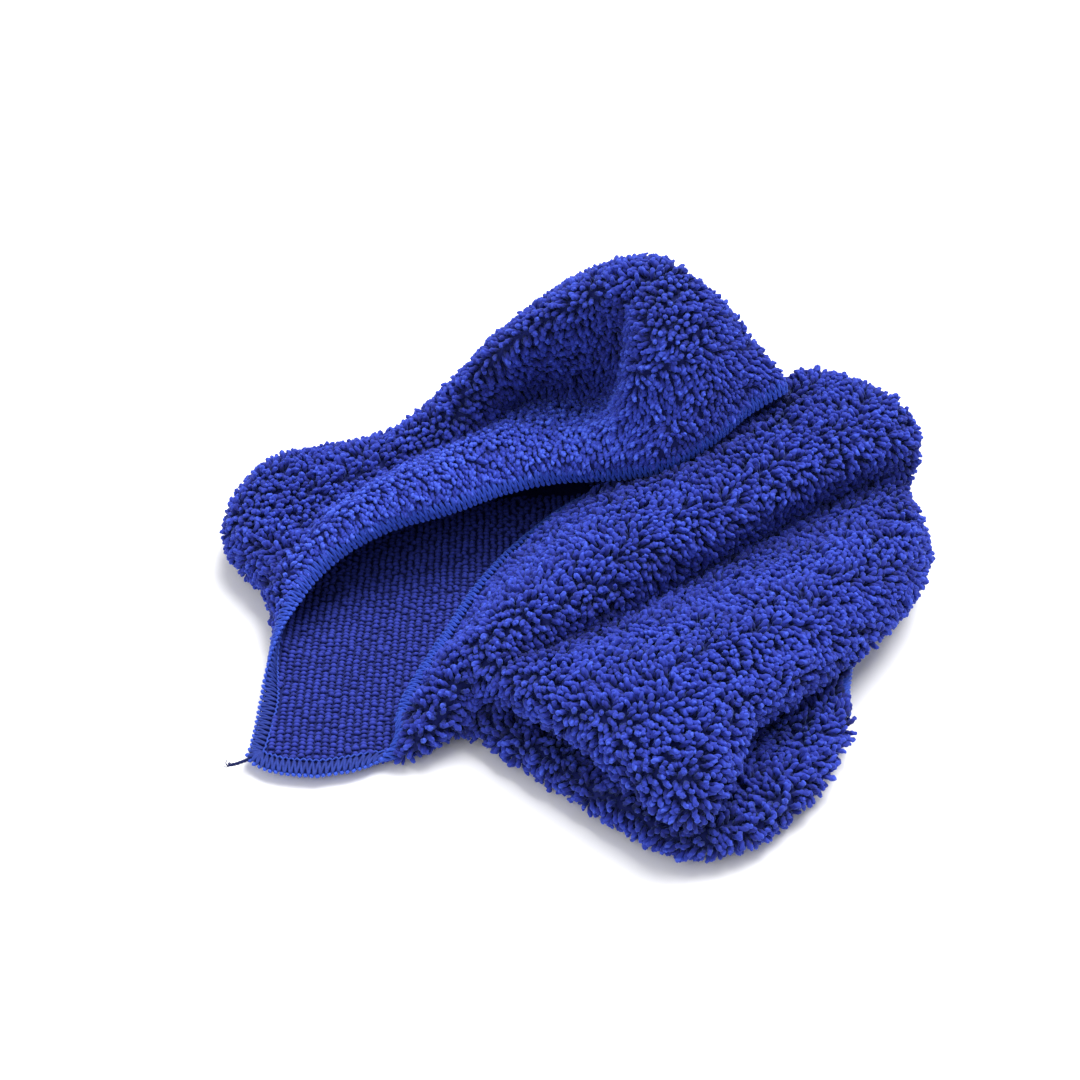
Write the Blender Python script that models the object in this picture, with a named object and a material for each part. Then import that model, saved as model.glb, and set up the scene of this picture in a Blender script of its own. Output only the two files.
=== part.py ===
"""Plush microfibre polishing and drying towel, bunched up on a table.

A square knitted towel with a long twist-loop pile on one face and a short ribbed
loop on the other, hemmed all round with a three-thread overlock seam.  It lies
crumpled: a tall hump at the back, a lobe on the left, two ridges running to the
right, a double fold in front, and a gutter between two borders where the ribbed
face shows.  Metres, +Z up, resting on the plane z = 0; the origin is the rest
point on the table under the middle of the towel.
"""
import bpy
import bmesh
import math
import numpy as np
from mathutils.bvhtree import BVHTree

MM = 0.001

# ---- driving dimensions, millimetres --------------------------------------------
TOWEL_SIDE = 360.0        # nominal side of the flat square towel
GROUND_HALF = 0.25        # half thickness of the knitted ground cloth
GAP_BASE = 0.55           # mid surface to the foot of either loop layer
PILE_LENGTH = 3.9         # standing length of the twist pile, as a felted layer
RIB_LENGTH = 1.1          # height of the ribbed loop face
FLOOR_PRESS = 3.2         # pile closer to the table than this is pressed onto it
HEM_WIDTH = 5.5           # border left free of both loop layers
BAND_WIDTH = 0.78         # part of the hem covered by the looper threads
PILE_BAND = 0.8           # thickness of the upper looper threads
RIB_BAND = 0.6            # thickness of the lower looper threads
NEEDLE_R = 0.22           # needle thread radius
FOLD_R = 4.5              # nose radius of the lower front fold
CREASE = 5.0              # opening of the inner crease
SHARP = 0.50              # cosine of the widest angle between a normal and its cells
CLEAR = 0.45              # left free between two layers that face each other
TAIL_R = 0.45             # radius of the loose thread end

STATIONS = 19             # stations along the folds, left corner to right end

# Fold lines of the crumpled towel, edge A to edge B.  Each gives the station and
# the point (x, y, z) in millimetres; stations left out are interpolated.
FOLD_LINES = {
    # edge A: serged border of the big flap, from the near left corner round the gutter to the hump
    'A_edge': {0: (-105.5, -79, 5), 1: (-104.5, -69.5, 5), 2: (-103.5, -54, 6.5), 3: (-101.5, -33, 13), 
        4: (-96.5, -21, 20), 5: (-87, -7, 27), 6: (-73, 4, 33), 7: (-56, 13, 36), 8: (-36, 18, 39), 
        9: (-16, 27, 41), 10: (5, 32, 43), 11: (21, 31, 45), 12: (35, 29, 48), 13: (50, 28, 53), 
        14: (68, 37, 59), 15: (84, 52, 63), 16: (98, 61, 66), 17: (98, 68, 60), 18: (96, 76, 53)},
    # just inside edge A, where the border rolls over
    'A_lip': {0: (-103, -81.5, 5), 1: (-101.5, -71, 5), 2: (-101, -54, 5.5), 3: (-102, -33.5, 11), 
        4: (-98.5, -20.5, 19.5), 5: (-90, -5, 30), 6: (-77, 6, 38), 7: (-60, 15, 42), 8: (-40, 21, 45), 
        9: (-19, 31, 46), 10: (2, 35, 49), 11: (19, 32, 52), 12: (33, 31, 56), 13: (48, 29, 61), 
        14: (65, 38, 67), 15: (81, 54, 70), 16: (95, 64, 70), 17: (96, 71, 62), 18: (94, 80, 53)},
    # top of the roll behind edge A
    'A_crest': {0: (-100, -83.5, 5), 1: (-99, -72, 5), 2: (-98.5, -54.5, 5), 3: (-101.5, -34, 8.5), 
        4: (-100, -20, 17.5), 5: (-94, -3, 30), 6: (-80, 12, 40), 7: (-64, 23, 45), 8: (-45, 31, 49), 
        9: (-26, 42, 51), 10: (-5, 51, 52), 11: (15, 50, 53), 12: (33, 38, 64), 13: (50, 38, 73), 
        14: (64, 45, 79), 15: (79, 59, 79), 16: (92, 68, 72), 17: (94, 75, 63), 18: (93, 83, 52)},
    # dip between the roll and the hump
    'A_hollow': {0: (-97, -84.5, 5), 1: (-96.5, -72.5, 5), 2: (-95.5, -55, 5), 3: (-99.5, -35, 6.5), 
        4: (-101, -20, 14.5), 5: (-98, -2, 27), 6: (-91, 14, 31), 7: (-76, 31, 34), 8: (-56, 47, 38), 
        9: (-29, 57, 44), 10: (-5, 81, 46), 11: (29, 78, 50), 12: (36, 45, 80), 13: (52, 46, 88), 
        14: (65, 56, 91), 15: (81, 69, 83), 16: (89, 73, 72), 17: (91, 80, 62), 18: (91, 87, 50)},
    # front face of the hump
    'A_wall': {0: (-94, -85.5, 5), 1: (-94, -73, 5), 2: (-93, -55, 5), 3: (-97, -36, 5.5), 4: (-101, -20, 11.5), 
        5: (-101, -1, 22), 6: (-107, 17, 27), 7: (-93, 39, 34), 8: (-58, 52, 40), 9: (-36, 62, 48), 
        10: (-4, 75, 70), 11: (32, 76, 80), 12: (41, 56, 102), 13: (56, 58, 102), 14: (70, 68, 96), 
        15: (80, 75, 82), 16: (85, 80, 71), 17: (88, 86, 60), 18: (89, 91, 47)},
    # summit line of the left lobe and of the hump
    'A_top': {0: (-91, -86, 5), 1: (-91, -73, 5), 2: (-90, -55, 5), 3: (-91, -38, 5), 4: (-99.5, -19.5, 8.5), 
        5: (-107, 2, 16), 6: (-123, 31, 23), 7: (-108, 52, 33), 8: (-63, 62, 38), 9: (-41, 68, 50), 
        10: (-13, 72, 80), 11: (20, 77, 102), 12: (47, 81, 110), 13: (62, 75, 104), 14: (70, 78, 94), 
        15: (76, 83, 80), 16: (80, 88, 68), 17: (83, 92, 57), 18: (85, 95, 43)},
    # back of the lobe and of the hump
    'A_back': {0: (-87.5, -86.5, 5), 1: (-88, -73, 5), 2: (-87, -55, 5), 3: (-87, -38, 5), 4: (-96, -19, 6), 
        5: (-106, 3, 10), 6: (-126, 30, 11), 7: (-112, 70, 14), 8: (-68, 80, 18), 9: (-42, 90, 34), 
        10: (-14, 98, 62), 11: (12, 108, 78), 12: (34, 112, 84), 13: (42, 110, 80), 14: (49, 107, 74), 
        15: (55, 106, 66), 16: (61, 104, 56), 17: (69, 102, 44), 18: (77, 100, 30)},
    # where the back comes down to the table
    'A_foot': {0: (-84.5, -86.5, 5), 1: (-84.5, -73, 5), 2: (-83, -55, 5), 3: (-82, -38, 5), 4: (-91, -19, 5), 
        5: (-99, 4, 5.5), 6: (-118, 24, 5), 7: (-98, 76, 5), 8: (-62, 92, 5), 9: (-36, 104, 5), 10: (-8, 118, 5), 
        11: (14, 124, 5), 12: (30, 126, 5), 13: (37, 126, 5), 14: (44, 124, 5), 15: (51, 122, 5), 
        16: (58, 119, 5), 17: (66, 115, 5), 18: (74, 110, 5)},
    # lying sheet, left part
    'F_left': {0: (-81, -87, 5), 1: (-80.5, -73, 5), 2: (-78, -55, 5), 3: (-72, -37, 5), 4: (-79, -19, 5), 
        5: (-80, 1, 5), 6: (-85, 19, 5), 7: (-60, 52, 5), 8: (-38, 64, 5), 9: (-18, 74, 5), 10: (2, 82, 5), 
        12: (32, 90, 5), 14: (56, 88, 5), 16: (74, 86, 5), 18: (86, 84, 5)},
    # lying sheet, middle
    'F_mid': {0: (-75, -86, 5), 1: (-73, -73, 5), 2: (-68, -55, 5), 3: (-61.5, -35.5, 5), 4: (-59, -14, 5), 
        5: (-53, 4, 6), 6: (-45, 20, 7), 7: (-35, 34, 8), 8: (-24, 47, 9), 9: (8, 52, 9), 10: (22, 58, 9), 
        12: (50, 64, 8), 14: (74, 62, 7), 16: (94, 58, 6), 18: (108, 54, 5)},
    # lying sheet, right part
    'F_right': {0: (-66, -84, 5), 1: (-64, -73.5, 5), 2: (-59, -59.5, 5), 3: (-49.5, -43, 5), 4: (-39, -25, 6), 
        5: (-29, -8, 6), 6: (-19, 8, 6), 7: (-9, 21, 7), 8: (12, 12, 7), 10: (38, 16, 7), 12: (66, 18, 7), 
        14: (92, 17, 7), 16: (110, 14, 6), 18: (124, 12, 5)},
    # lying sheet, front part
    'F_front': {0: (-57, -80, 5.5), 1: (-50, -76, 5), 2: (-44, -70, 5), 3: (-38, -64, 5), 4: (-31, -58, 5), 
        5: (-17, -68, 5), 6: (-1, -81, 5), 7: (20, -97, 5), 8: (45, -114, 5), 9: (64, -112, 5), 
        10: (80, -100, 5), 11: (93, -84, 5), 12: (101, -76, 5), 13: (102.5, -72.5, 5), 14: (103.5, -69, 5), 
        15: (105, -66, 5), 16: (106.5, -63, 5), 17: (108.5, -60, 5), 18: (111, -57, 5.5)},
    # nose of the lower front fold
    'L_bulge': {1: (-45.5, -77, 6), 2: (-39, -72, 7), 3: (-32.5, -66.5, 7.5), 4: (-24, -67, 8), 5: (-12, -77, 8), 
        6: (4, -90, 8), 7: (25, -107, 8), 8: (51, -123, 8), 9: (70, -120, 8), 10: (87, -107, 8), 
        11: (101, -91, 8), 12: (106, -80, 9), 13: (108.5, -76, 9), 14: (110.5, -72.5, 9), 15: (111.5, -69.5, 9), 
        16: (112.5, -66.5, 9), 17: (113, -63, 9), 18: (114, -59.5, 9)},
    # top side of the lower front fold
    'L_top': {1: (-42.5, -76.5, 8), 2: (-36, -71.5, 10), 3: (-29, -66.5, 11), 4: (-20, -67, 12), 
        5: (-9, -77, 13), 6: (7, -89, 13), 7: (29, -106, 13), 8: (52, -122, 13), 9: (69, -112, 13), 
        10: (83, -99, 13), 11: (95, -86, 13), 12: (102, -76.5, 13), 13: (103, -72.5, 13), 14: (104.5, -68.5, 13), 
        15: (106.5, -64.5, 13), 16: (108.5, -60.5, 13), 17: (111, -56.5, 13), 18: (114.5, -52.5, 12.5)},
    # upper layer going back in under the upper fold
    'L_under': {1: (-40.5, -75.5, 10.5), 2: (-33.5, -70.5, 12.5), 3: (-26.5, -66, 14), 4: (-18, -66.5, 14.5), 
        5: (-3, -66, 13), 6: (15, -78, 13), 7: (36, -96, 13), 8: (52, -110, 13), 9: (68, -96, 13), 
        10: (80, -80, 13), 11: (90, -67, 13), 12: (100, -56, 13), 13: (105, -46, 12.5), 14: (110, -37, 12.5), 
        15: (115, -28, 12), 16: (119, -19, 11.5), 17: (124, -10, 10), 18: (127, -8, 9.5)},
    # deep inner crease between the lower and the upper front fold
    'L_recess': {1: (-39.5, -74.5, 12.5), 2: (-32.5, -69.5, 15.5), 3: (-25, -65, 17), 4: (-20, -65, 17), 
        5: (2, -56, 17.5), 6: (20, -66, 17.5), 7: (41, -80, 17.5), 8: (54.5, -92, 17.5), 9: (67, -82, 17.5), 
        10: (78, -66, 17.5), 11: (90, -50, 17.5), 12: (103, -36, 17), 13: (108, -27, 16.5), 14: (114, -18, 16), 
        15: (120, -9, 15.5), 16: (126, -1, 14.5), 17: (131, 5, 12.5), 18: (136, 10, 10)},
    # underside of the upper front fold
    'U_under': {1: (-38.5, -73, 15), 2: (-31.5, -68, 18), 3: (-24.5, -64, 20), 4: (-17, -65, 20), 
        5: (3, -68, 22), 6: (20, -80, 22), 7: (38, -96, 22), 8: (53, -108, 21.5), 9: (66, -96, 22), 
        10: (76, -77, 22.5), 11: (89, -61, 22), 12: (104, -46, 21), 13: (111, -36, 20), 14: (120, -26, 19), 
        15: (129, -15, 18), 16: (136, -5, 17), 17: (139, 7, 13.5), 18: (141, 17, 10)},
    # nose of the upper front fold
    'U_lip': {1: (-38.5, -71.5, 17), 2: (-31.5, -66.5, 21), 3: (-24, -62.5, 23), 4: (-13.5, -66.5, 24), 
        5: (4, -79, 25), 6: (20, -93, 25), 7: (35, -110, 23), 8: (51, -122, 22), 9: (63, -107, 25), 
        10: (72, -84, 27), 11: (86, -71, 26), 12: (100, -59, 24), 13: (114, -45, 22), 14: (126, -32, 21), 
        15: (137, -18, 20), 16: (146, -3, 18), 17: (150, 12, 15), 18: (144, 26, 11)},
    # front face of the upper front fold
    'U_face': {1: (-38.5, -70, 18.5), 2: (-31.5, -64.5, 23), 3: (-24.5, -60.5, 26.5), 4: (-13, -66, 28.5), 
        5: (2, -79, 34), 6: (17, -90, 35), 7: (33, -103, 35), 8: (51, -110, 35), 9: (63, -98, 37), 
        10: (75, -81, 38), 11: (89, -69, 37), 12: (103, -54, 34), 13: (117, -39, 32), 14: (130, -24, 30), 
        15: (141, -10, 28), 16: (148, 4, 26), 17: (152, 20, 20), 18: (147, 34, 12)},
    # crest of the front ridge
    'U_crest': {1: (-39, -68, 19.5), 2: (-32, -62.5, 24.5), 3: (-25.5, -58, 29), 4: (-14, -63, 32), 
        5: (1, -71, 37), 6: (16, -72, 40), 7: (32, -71, 43), 8: (48, -67, 45), 9: (63, -60, 46), 
        10: (76, -52, 46), 11: (90, -41, 45), 12: (103, -30, 43), 13: (116, -17, 41), 14: (128, -5, 39), 
        15: (138, 6, 37), 16: (145, 15, 35), 17: (149, 29, 26), 18: (148, 40, 13)},
    # valley between the front ridge and the back ridge
    'V_valley': {1: (-39.5, -66.5, 20.5), 2: (-33, -60.5, 25.5), 3: (-27, -55, 30), 4: (-16, -58, 33.5), 
        5: (-3, -55, 33), 6: (10, -47, 32), 7: (24, -38, 31), 8: (38, -26, 30), 9: (53, -14, 29), 
        10: (67, -3, 29), 11: (82, 9, 29), 12: (96, 21, 29), 13: (111, 30, 30), 14: (124, 39, 31), 
        15: (136, 45, 32), 16: (143, 44, 33), 17: (147, 43, 27), 18: (148, 49, 13)},
    # front face of the back ridge
    'R_face': {1: (-40.5, -64.5, 20.5), 2: (-34.5, -58, 25.5), 3: (-29, -52, 30), 4: (-17.5, -55, 35), 
        5: (-4, -49, 39), 6: (9, -41, 42), 7: (24, -31, 44), 8: (39, -21, 46), 9: (54, -11, 47), 
        10: (69, -1, 48), 11: (83, 10, 49), 12: (98, 20, 50), 13: (113, 30, 51), 14: (128, 39, 51), 
        15: (143, 45, 50), 16: (149, 47, 44), 17: (149, 52, 32), 18: (147, 56, 13)},
    # crest of the back ridge
    'R_crest': {1: (-41.5, -63, 20), 2: (-36, -56, 25), 3: (-31.5, -49, 29), 4: (-20, -50, 36.5), 
        5: (-7, -38, 41), 6: (6, -24, 45), 7: (20, -12, 48), 8: (35, 1, 50), 9: (49, 13, 52), 10: (64, 23, 54), 
        11: (79, 33, 55), 12: (93, 40, 56), 13: (108, 48, 57), 14: (122, 55, 57), 15: (138, 57, 55), 
        16: (150, 54, 48), 17: (149, 59, 34), 18: (145, 63, 13)},
    # slope of the back ridge towards the gutter
    'R_slope': {1: (-42.5, -62, 17.5), 2: (-38, -54.5, 20.5), 3: (-34, -47, 22.5), 4: (-25, -37, 25), 
        5: (-15.5, -19, 27), 6: (-3, -6, 32), 7: (12, 3, 39), 8: (25, 16, 42), 9: (40, 26, 46), 10: (56, 38, 49), 
        11: (72, 50, 51), 12: (90, 60, 53), 13: (108, 81, 57), 14: (126, 76, 57), 15: (141, 70, 54), 
        16: (149, 63, 48), 17: (147, 67, 32), 18: (141, 71, 13)},
    # foot of that slope
    'R_back': {1: (-45.5, -60, 13.5), 2: (-42, -51.5, 14), 3: (-38, -43, 14.5), 4: (-31, -28, 14.5), 
        5: (-22.5, -7.5, 15.5), 6: (-11, 10, 19), 7: (3, 23, 24), 8: (18, 31, 31), 9: (37, 38, 39), 
        10: (53, 51, 42), 11: (70, 63, 45), 12: (91, 73, 47), 13: (109, 87, 46), 14: (121, 87, 42), 
        15: (132, 83, 38), 16: (140, 79, 33), 17: (141, 76, 25), 18: (137, 78, 12)},
    # edge B: serged border along the right side of the gutter
    'B_edge': {0: (-52, -65.5, 11), 1: (-50.5, -57, 11), 2: (-47.5, -48, 11), 3: (-43.5, -38.5, 11.5), 
        4: (-36, -21.5, 11.5), 5: (-27.5, -1.5, 12), 6: (-15.5, 17, 14.5), 7: (-1, 32, 18), 8: (11, 40, 22), 
        9: (35, 48, 30), 10: (52, 62, 34), 11: (71, 72, 37), 12: (94, 82, 38), 13: (109, 92, 32), 
        14: (119, 94, 25), 15: (127, 92, 19), 16: (133, 89, 15), 17: (134, 87, 13), 18: (131, 85, 12)},
}

LINE = {name: k for k, name in enumerate(FOLD_LINES)}

# grid lines of the cloth between the two hems: one per fold line and station, with
# some more where a span is strongly curved
ACROSS = [0, 1, 2, 3, 4, 4.5, 5, 5.5, 6, 6.5, 7, 7.5, 8, 9, 9.5, 10, 10.5, 11, 12, 13,
          14, 15, 16, 17, 17.5, 18, 18.5, 19, 19.5, 20, 21, 22, 23, 24, 25]
ALONG = [0, 1, 2, 3, 3.5, 4, 4.5, 5, 5.5, 6, 6.5, 7, 8, 9, 10, 11, 11.5, 12, 13, 14, 15,
         16, 17, 18]


# ---- the crumpled mid surface ------------------------------------------------------
def fold_line(keys):
    """Points of one fold line at every station, Hermite interpolated between keys."""
    ks = sorted(keys)
    x = np.array(ks, float)
    p = np.array([keys[k] for k in ks], float)
    m = np.zeros_like(p)
    m[0] = (p[1] - p[0]) / (x[1] - x[0])
    m[-1] = (p[-1] - p[-2]) / (x[-1] - x[-2])
    for k in range(1, len(ks) - 1):
        h0, h1 = x[k] - x[k - 1], x[k + 1] - x[k]
        m[k] = ((p[k] - p[k - 1]) / h0 * h1 + (p[k + 1] - p[k]) / h1 * h0) / (h0 + h1)
    out = np.zeros((STATIONS, 3))
    for s in range(STATIONS):
        k = min(max(int(np.searchsorted(x, s, side='right')) - 1, 0), len(ks) - 2)
        h = x[k + 1] - x[k]
        t = (s - x[k]) / h
        out[s] = ((2 * t**3 - 3 * t * t + 1) * p[k] + (t**3 - 2 * t * t + t) * h * m[k]
                  + (3 * t * t - 2 * t**3) * p[k + 1] + (t**3 - t * t) * h * m[k + 1])
    return out


def heading(v):
    """Unit vector of v seen from above."""
    return v[:2] / max(1e-6, math.hypot(v[0], v[1]))


def control_points():
    """Stations by fold lines, with the rules the tight folds follow."""
    g = np.stack([fold_line(keys) for keys in FOLD_LINES.values()], 1)
    # the left corner: the folds gather into one small arch
    a = LINE['F_front']
    p0, p1, p2 = g[0, a].copy(), np.array((-50.0, -77.0, 11.0)), g[0, -1].copy()
    for k in range(a, len(LINE)):
        t = (k - a) / (len(LINE) - 1 - a)
        g[0, k] = (1 - t)**2 * p0 + 2 * t * (1 - t) * p1 + t * t * p2
    for s in range(5, STATIONS):
        if s <= 11:                      # round nose of the lower front fold
            b = g[s, LINE['L_bulge']]
            d = heading(g[s, LINE['F_front']] - b)
            b[2] = 2 * FOLD_R
            for name, z in (('F_front', 5.0), ('L_top', 13.0)):
                g[s, LINE[name], :2] = b[:2] + FOLD_R * d
                g[s, LINE[name], 2] = z
        if s <= 15:                      # inner crease between the two front folds
            r = g[s, LINE['L_recess']]
            up = heading(g[s, LINE['U_under']] - r)
            down = heading(g[s, LINE['L_top']] - r)
            g[s, LINE['L_under'], :2] = r[:2] + CREASE * down
            g[s, LINE['U_under'], :2] = r[:2] + CREASE * up
    return g


def spline(p, per):
    """Centripetal Catmull-Rom curve through p along axis 0, per steps a span."""
    n = len(p)
    p = np.concatenate([2 * p[:1] - p[1:2], p, 2 * p[-1:] - p[-2:-1]], 0)
    d = np.sqrt(np.maximum(np.linalg.norm(p[1:] - p[:-1], axis=-1, keepdims=True), 1e-3))
    out = []
    for k in range(n - 1):
        p0, p1, p2, p3 = p[k:k + 4]
        a, b, c = d[k], d[k + 1], d[k + 2]
        m1 = b * ((p1 - p0) / a - (p2 - p0) / (a + b) + (p2 - p1) / b)
        m2 = b * ((p2 - p1) / b - (p3 - p1) / (b + c) + (p3 - p2) / c)
        for q in range(per + (k == n - 2)):
            t = q / per
            out.append((2 * t**3 - 3 * t * t + 1) * p1 + (t**3 - 2 * t * t + t) * m1
                       + (3 * t * t - 2 * t**3) * p2 + (t**3 - t * t) * m2)
    return np.stack(out, 0)


PER = 10                                  # steps a span of the fine surface


def fine_surface():
    g = spline(control_points(), PER)
    return spline(g.transpose(1, 0, 2), PER).transpose(1, 0, 2)


def sample(surf, s, c):
    """Bilinear point of the fine surface at station s and line c."""
    i, j = s * PER, c * PER
    i0 = np.clip(np.floor(i).astype(int), 0, surf.shape[0] - 2)
    j0 = np.clip(np.floor(j).astype(int), 0, surf.shape[1] - 2)
    fi, fj = (i - i0)[..., None], (j - j0)[..., None]
    return ((surf[i0, j0] * (1 - fi) + surf[i0 + 1, j0] * fi) * (1 - fj)
            + (surf[i0, j0 + 1] * (1 - fi) + surf[i0 + 1, j0 + 1] * fi) * fj)


def inset(rows, width):
    """Parameter at which each curve of rows (k, n, 3) is width long."""
    out = []
    for row in rows:
        step = np.linalg.norm(np.diff(row, axis=0), axis=-1)
        out.append(np.interp(width, np.concatenate([[0], np.cumsum(step)]),
                             np.arange(len(row)) / PER))
    return np.array(out)


def even(t, most=2.4, reach=PER // 2):
    """The inset without its sudden jumps, for grid lines that stay straight."""
    t = np.minimum(t, most)
    q = np.pad(t, reach, mode='edge')
    return np.array([q[k:k + 2 * reach + 1].mean() for k in range(len(t))])


def cloth_grid(surf, width):
    """Grid over the cloth.  Its third lines from each border run width inside it, its
    second lines bound the looper threads.  Returns points (m, n, 3)."""
    smax, cmax = (surf.shape[0] - 1) / PER, (surf.shape[1] - 1) / PER
    cin = even(inset(surf, width))
    cout = cmax - even(inset(surf[:, ::-1], width))
    sin = even(inset(surf.transpose(1, 0, 2), width))
    sout = smax - even(inset(surf[::-1].transpose(1, 0, 2), width))
    u = np.array([0, 0] + ALONG + [smax, smax], float)[:, None]
    v = np.array([0, 0] + ACROSS + [cmax, cmax], float)[None]
    m, n = u.size, v.size
    s, c = np.repeat(u, n, 1), np.repeat(v, m, 0)
    grid_s = np.arange(surf.shape[0]) / PER
    grid_c = np.arange(surf.shape[1]) / PER
    for _ in range(12):
        ci, co = np.interp(s, grid_s, cin), np.interp(s, grid_s, cout)
        si, so = np.interp(c, grid_c, sin), np.interp(c, grid_c, sout)
        s2 = (u + si * np.maximum(0, 1 - u / 8)**2
              - (smax - so) * np.maximum(0, 1 - (smax - u) / 8)**2)
        c2 = (v + ci * np.maximum(0, 1 - v / 8)**2
              - (cmax - co) * np.maximum(0, 1 - (cmax - v) / 8)**2)
        s2[1], s2[-2] = BAND_WIDTH * s2[1], smax - BAND_WIDTH * (smax - s2[-2])
        c2[:, 1], c2[:, -2] = BAND_WIDTH * c2[:, 1], cmax - BAND_WIDTH * (cmax - c2[:, -2])
        s2[0], s2[-1] = 0, smax
        c2[:, 0], c2[:, -1] = 0, cmax
        s, c = 0.5 * (s + s2), 0.5 * (c + c2)
    s[0], s[-1] = 0, smax
    c[:, 0], c[:, -1] = 0, cmax
    return sample(surf, s, c)


def triangles(p):
    """The grid's cells cut into triangles, each along its better diagonal, as rows of
    point numbers."""
    m, n, _ = p.shape
    k = np.arange(m * n).reshape(m, n)
    a, b, c, d = k[:-1, :-1], k[1:, :-1], k[1:, 1:], k[:-1, 1:]
    q = p.reshape(-1, 3)

    def shape(x, y, z):
        e = [q[y] - q[x], q[z] - q[y], q[x] - q[z]]
        area = np.linalg.norm(np.cross(e[0], e[1]), axis=-1)
        return area / np.maximum.reduce([(v * v).sum(-1) for v in e])
    one = np.minimum(shape(a, b, c), shape(a, c, d)) >= np.minimum(shape(a, b, d),
                                                                  shape(b, c, d))
    t1 = np.where(one[..., None], np.stack([a, b, c], -1), np.stack([a, b, d], -1))
    t2 = np.where(one[..., None], np.stack([a, c, d], -1), np.stack([b, c, d], -1))
    return np.concatenate([t1.reshape(-1, 3), t2.reshape(-1, 3)])


def facet_normals(q, tri):
    fn = np.cross(q[tri[:, 1]] - q[tri[:, 0]], q[tri[:, 2]] - q[tri[:, 0]])
    return fn / (np.linalg.norm(fn, axis=-1, keepdims=True) + 1e-12)


def vertex_normals(p, tri):
    """Angle weighted normals of the grid points, on the pile side."""
    q = p.reshape(-1, 3)
    nor = np.zeros_like(q)
    fn = facet_normals(q, tri)
    for k in range(3):
        e1 = q[tri[:, (k + 1) % 3]] - q[tri[:, k]]
        e2 = q[tri[:, (k + 2) % 3]] - q[tri[:, k]]
        cosw = (e1 * e2).sum(-1) / (np.linalg.norm(e1, axis=-1)
                                    * np.linalg.norm(e2, axis=-1) + 1e-12)
        w = np.arccos(np.clip(cosw, -1, 1))
        np.add.at(nor, tri[:, k], fn * w[:, None])
    nor /= np.linalg.norm(nor, axis=-1, keepdims=True) + 1e-12
    for _ in range(40):                  # turn a normal off any cell it grazes
        dot = np.stack([(fn * nor[tri[:, k]]).sum(-1) for k in range(3)])
        push = np.zeros_like(nor)
        for k in range(3):
            low = dot[k] < SHARP
            np.add.at(push, tri[low, k], fn[low] * (SHARP - dot[k][low])[:, None])
        if not push.any():
            break
        nor += 0.5 * push
        nor /= np.linalg.norm(nor, axis=-1, keepdims=True) + 1e-12
    return nor.reshape(p.shape)


def relax(p, rounds):
    """Ease the grid where a cell meets its neighbours at a very sharp angle, so that
    the loop layers can lie on both faces of the cloth."""
    m, n, _ = p.shape
    p = p.copy()
    for _ in range(rounds):
        tri = triangles(p)
        nor = vertex_normals(p, tri).reshape(-1, 3)
        fn = facet_normals(p.reshape(-1, 3), tri)
        worst = np.ones(m * n)
        for k in range(3):
            np.minimum.at(worst, tri[:, k], (fn * nor[tri[:, k]]).sum(-1))
        w = np.clip((0.6 * SHARP - worst.reshape(m, n)) / 0.2, 0, 1)
        if w.max() <= 0:
            break
        mean = p.copy()
        mean[1:-1, 1:-1] = (p[:-2, 1:-1] + p[2:, 1:-1] + p[1:-1, :-2] + p[1:-1, 2:]) / 4
        for e in (0, -1):
            mean[e, 1:-1] = (p[e, :-2] + p[e, 2:]) / 2
            mean[1:-1, e] = (p[:-2, e] + p[2:, e]) / 2
        p += 0.4 * w[..., None] * (mean - p)
    return p


def hold(p, nor, tri, t, low):
    """Draw a layer in where standing off by t would turn one of its cells over."""
    q, d = p.reshape(-1, 3), nor.reshape(-1, 3)
    fn = facet_normals(q, tri)
    t, low = t.reshape(-1).copy(), np.broadcast_to(low, t.shape).reshape(-1)
    for _ in range(40):
        fo = facet_normals(q + d * t[:, None], tri)
        bad = (fo * fn).sum(-1) < 0.35
        if not bad.any():
            break
        pts = np.unique(tri[bad])
        t[pts] = np.maximum(0.85 * t[pts], low[pts])
    return t.reshape(p.shape[:2])


def free_radius(p, nor, cloud, cap=14.0):
    """Radius of the largest ball that touches p on the nor side and holds no point of
    the cloud: how far a layer may stand off there without meeting another."""
    flat, fn = p.reshape(-1, 3), nor.reshape(-1, 3)
    out = np.full(len(flat), cap)
    for k in range(0, len(flat), 200):
        d = cloud[None] - flat[k:k + 200, None]
        h = (d * fn[k:k + 200, None]).sum(-1)
        q = (d * d).sum(-1)
        out[k:k + 200] = np.minimum(cap, np.where((h > 0.05) & (q > 1e-6),
                                                  q / (2 * np.maximum(h, 1e-9)), cap).min(1))
    return out.reshape(p.shape[:2])


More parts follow.
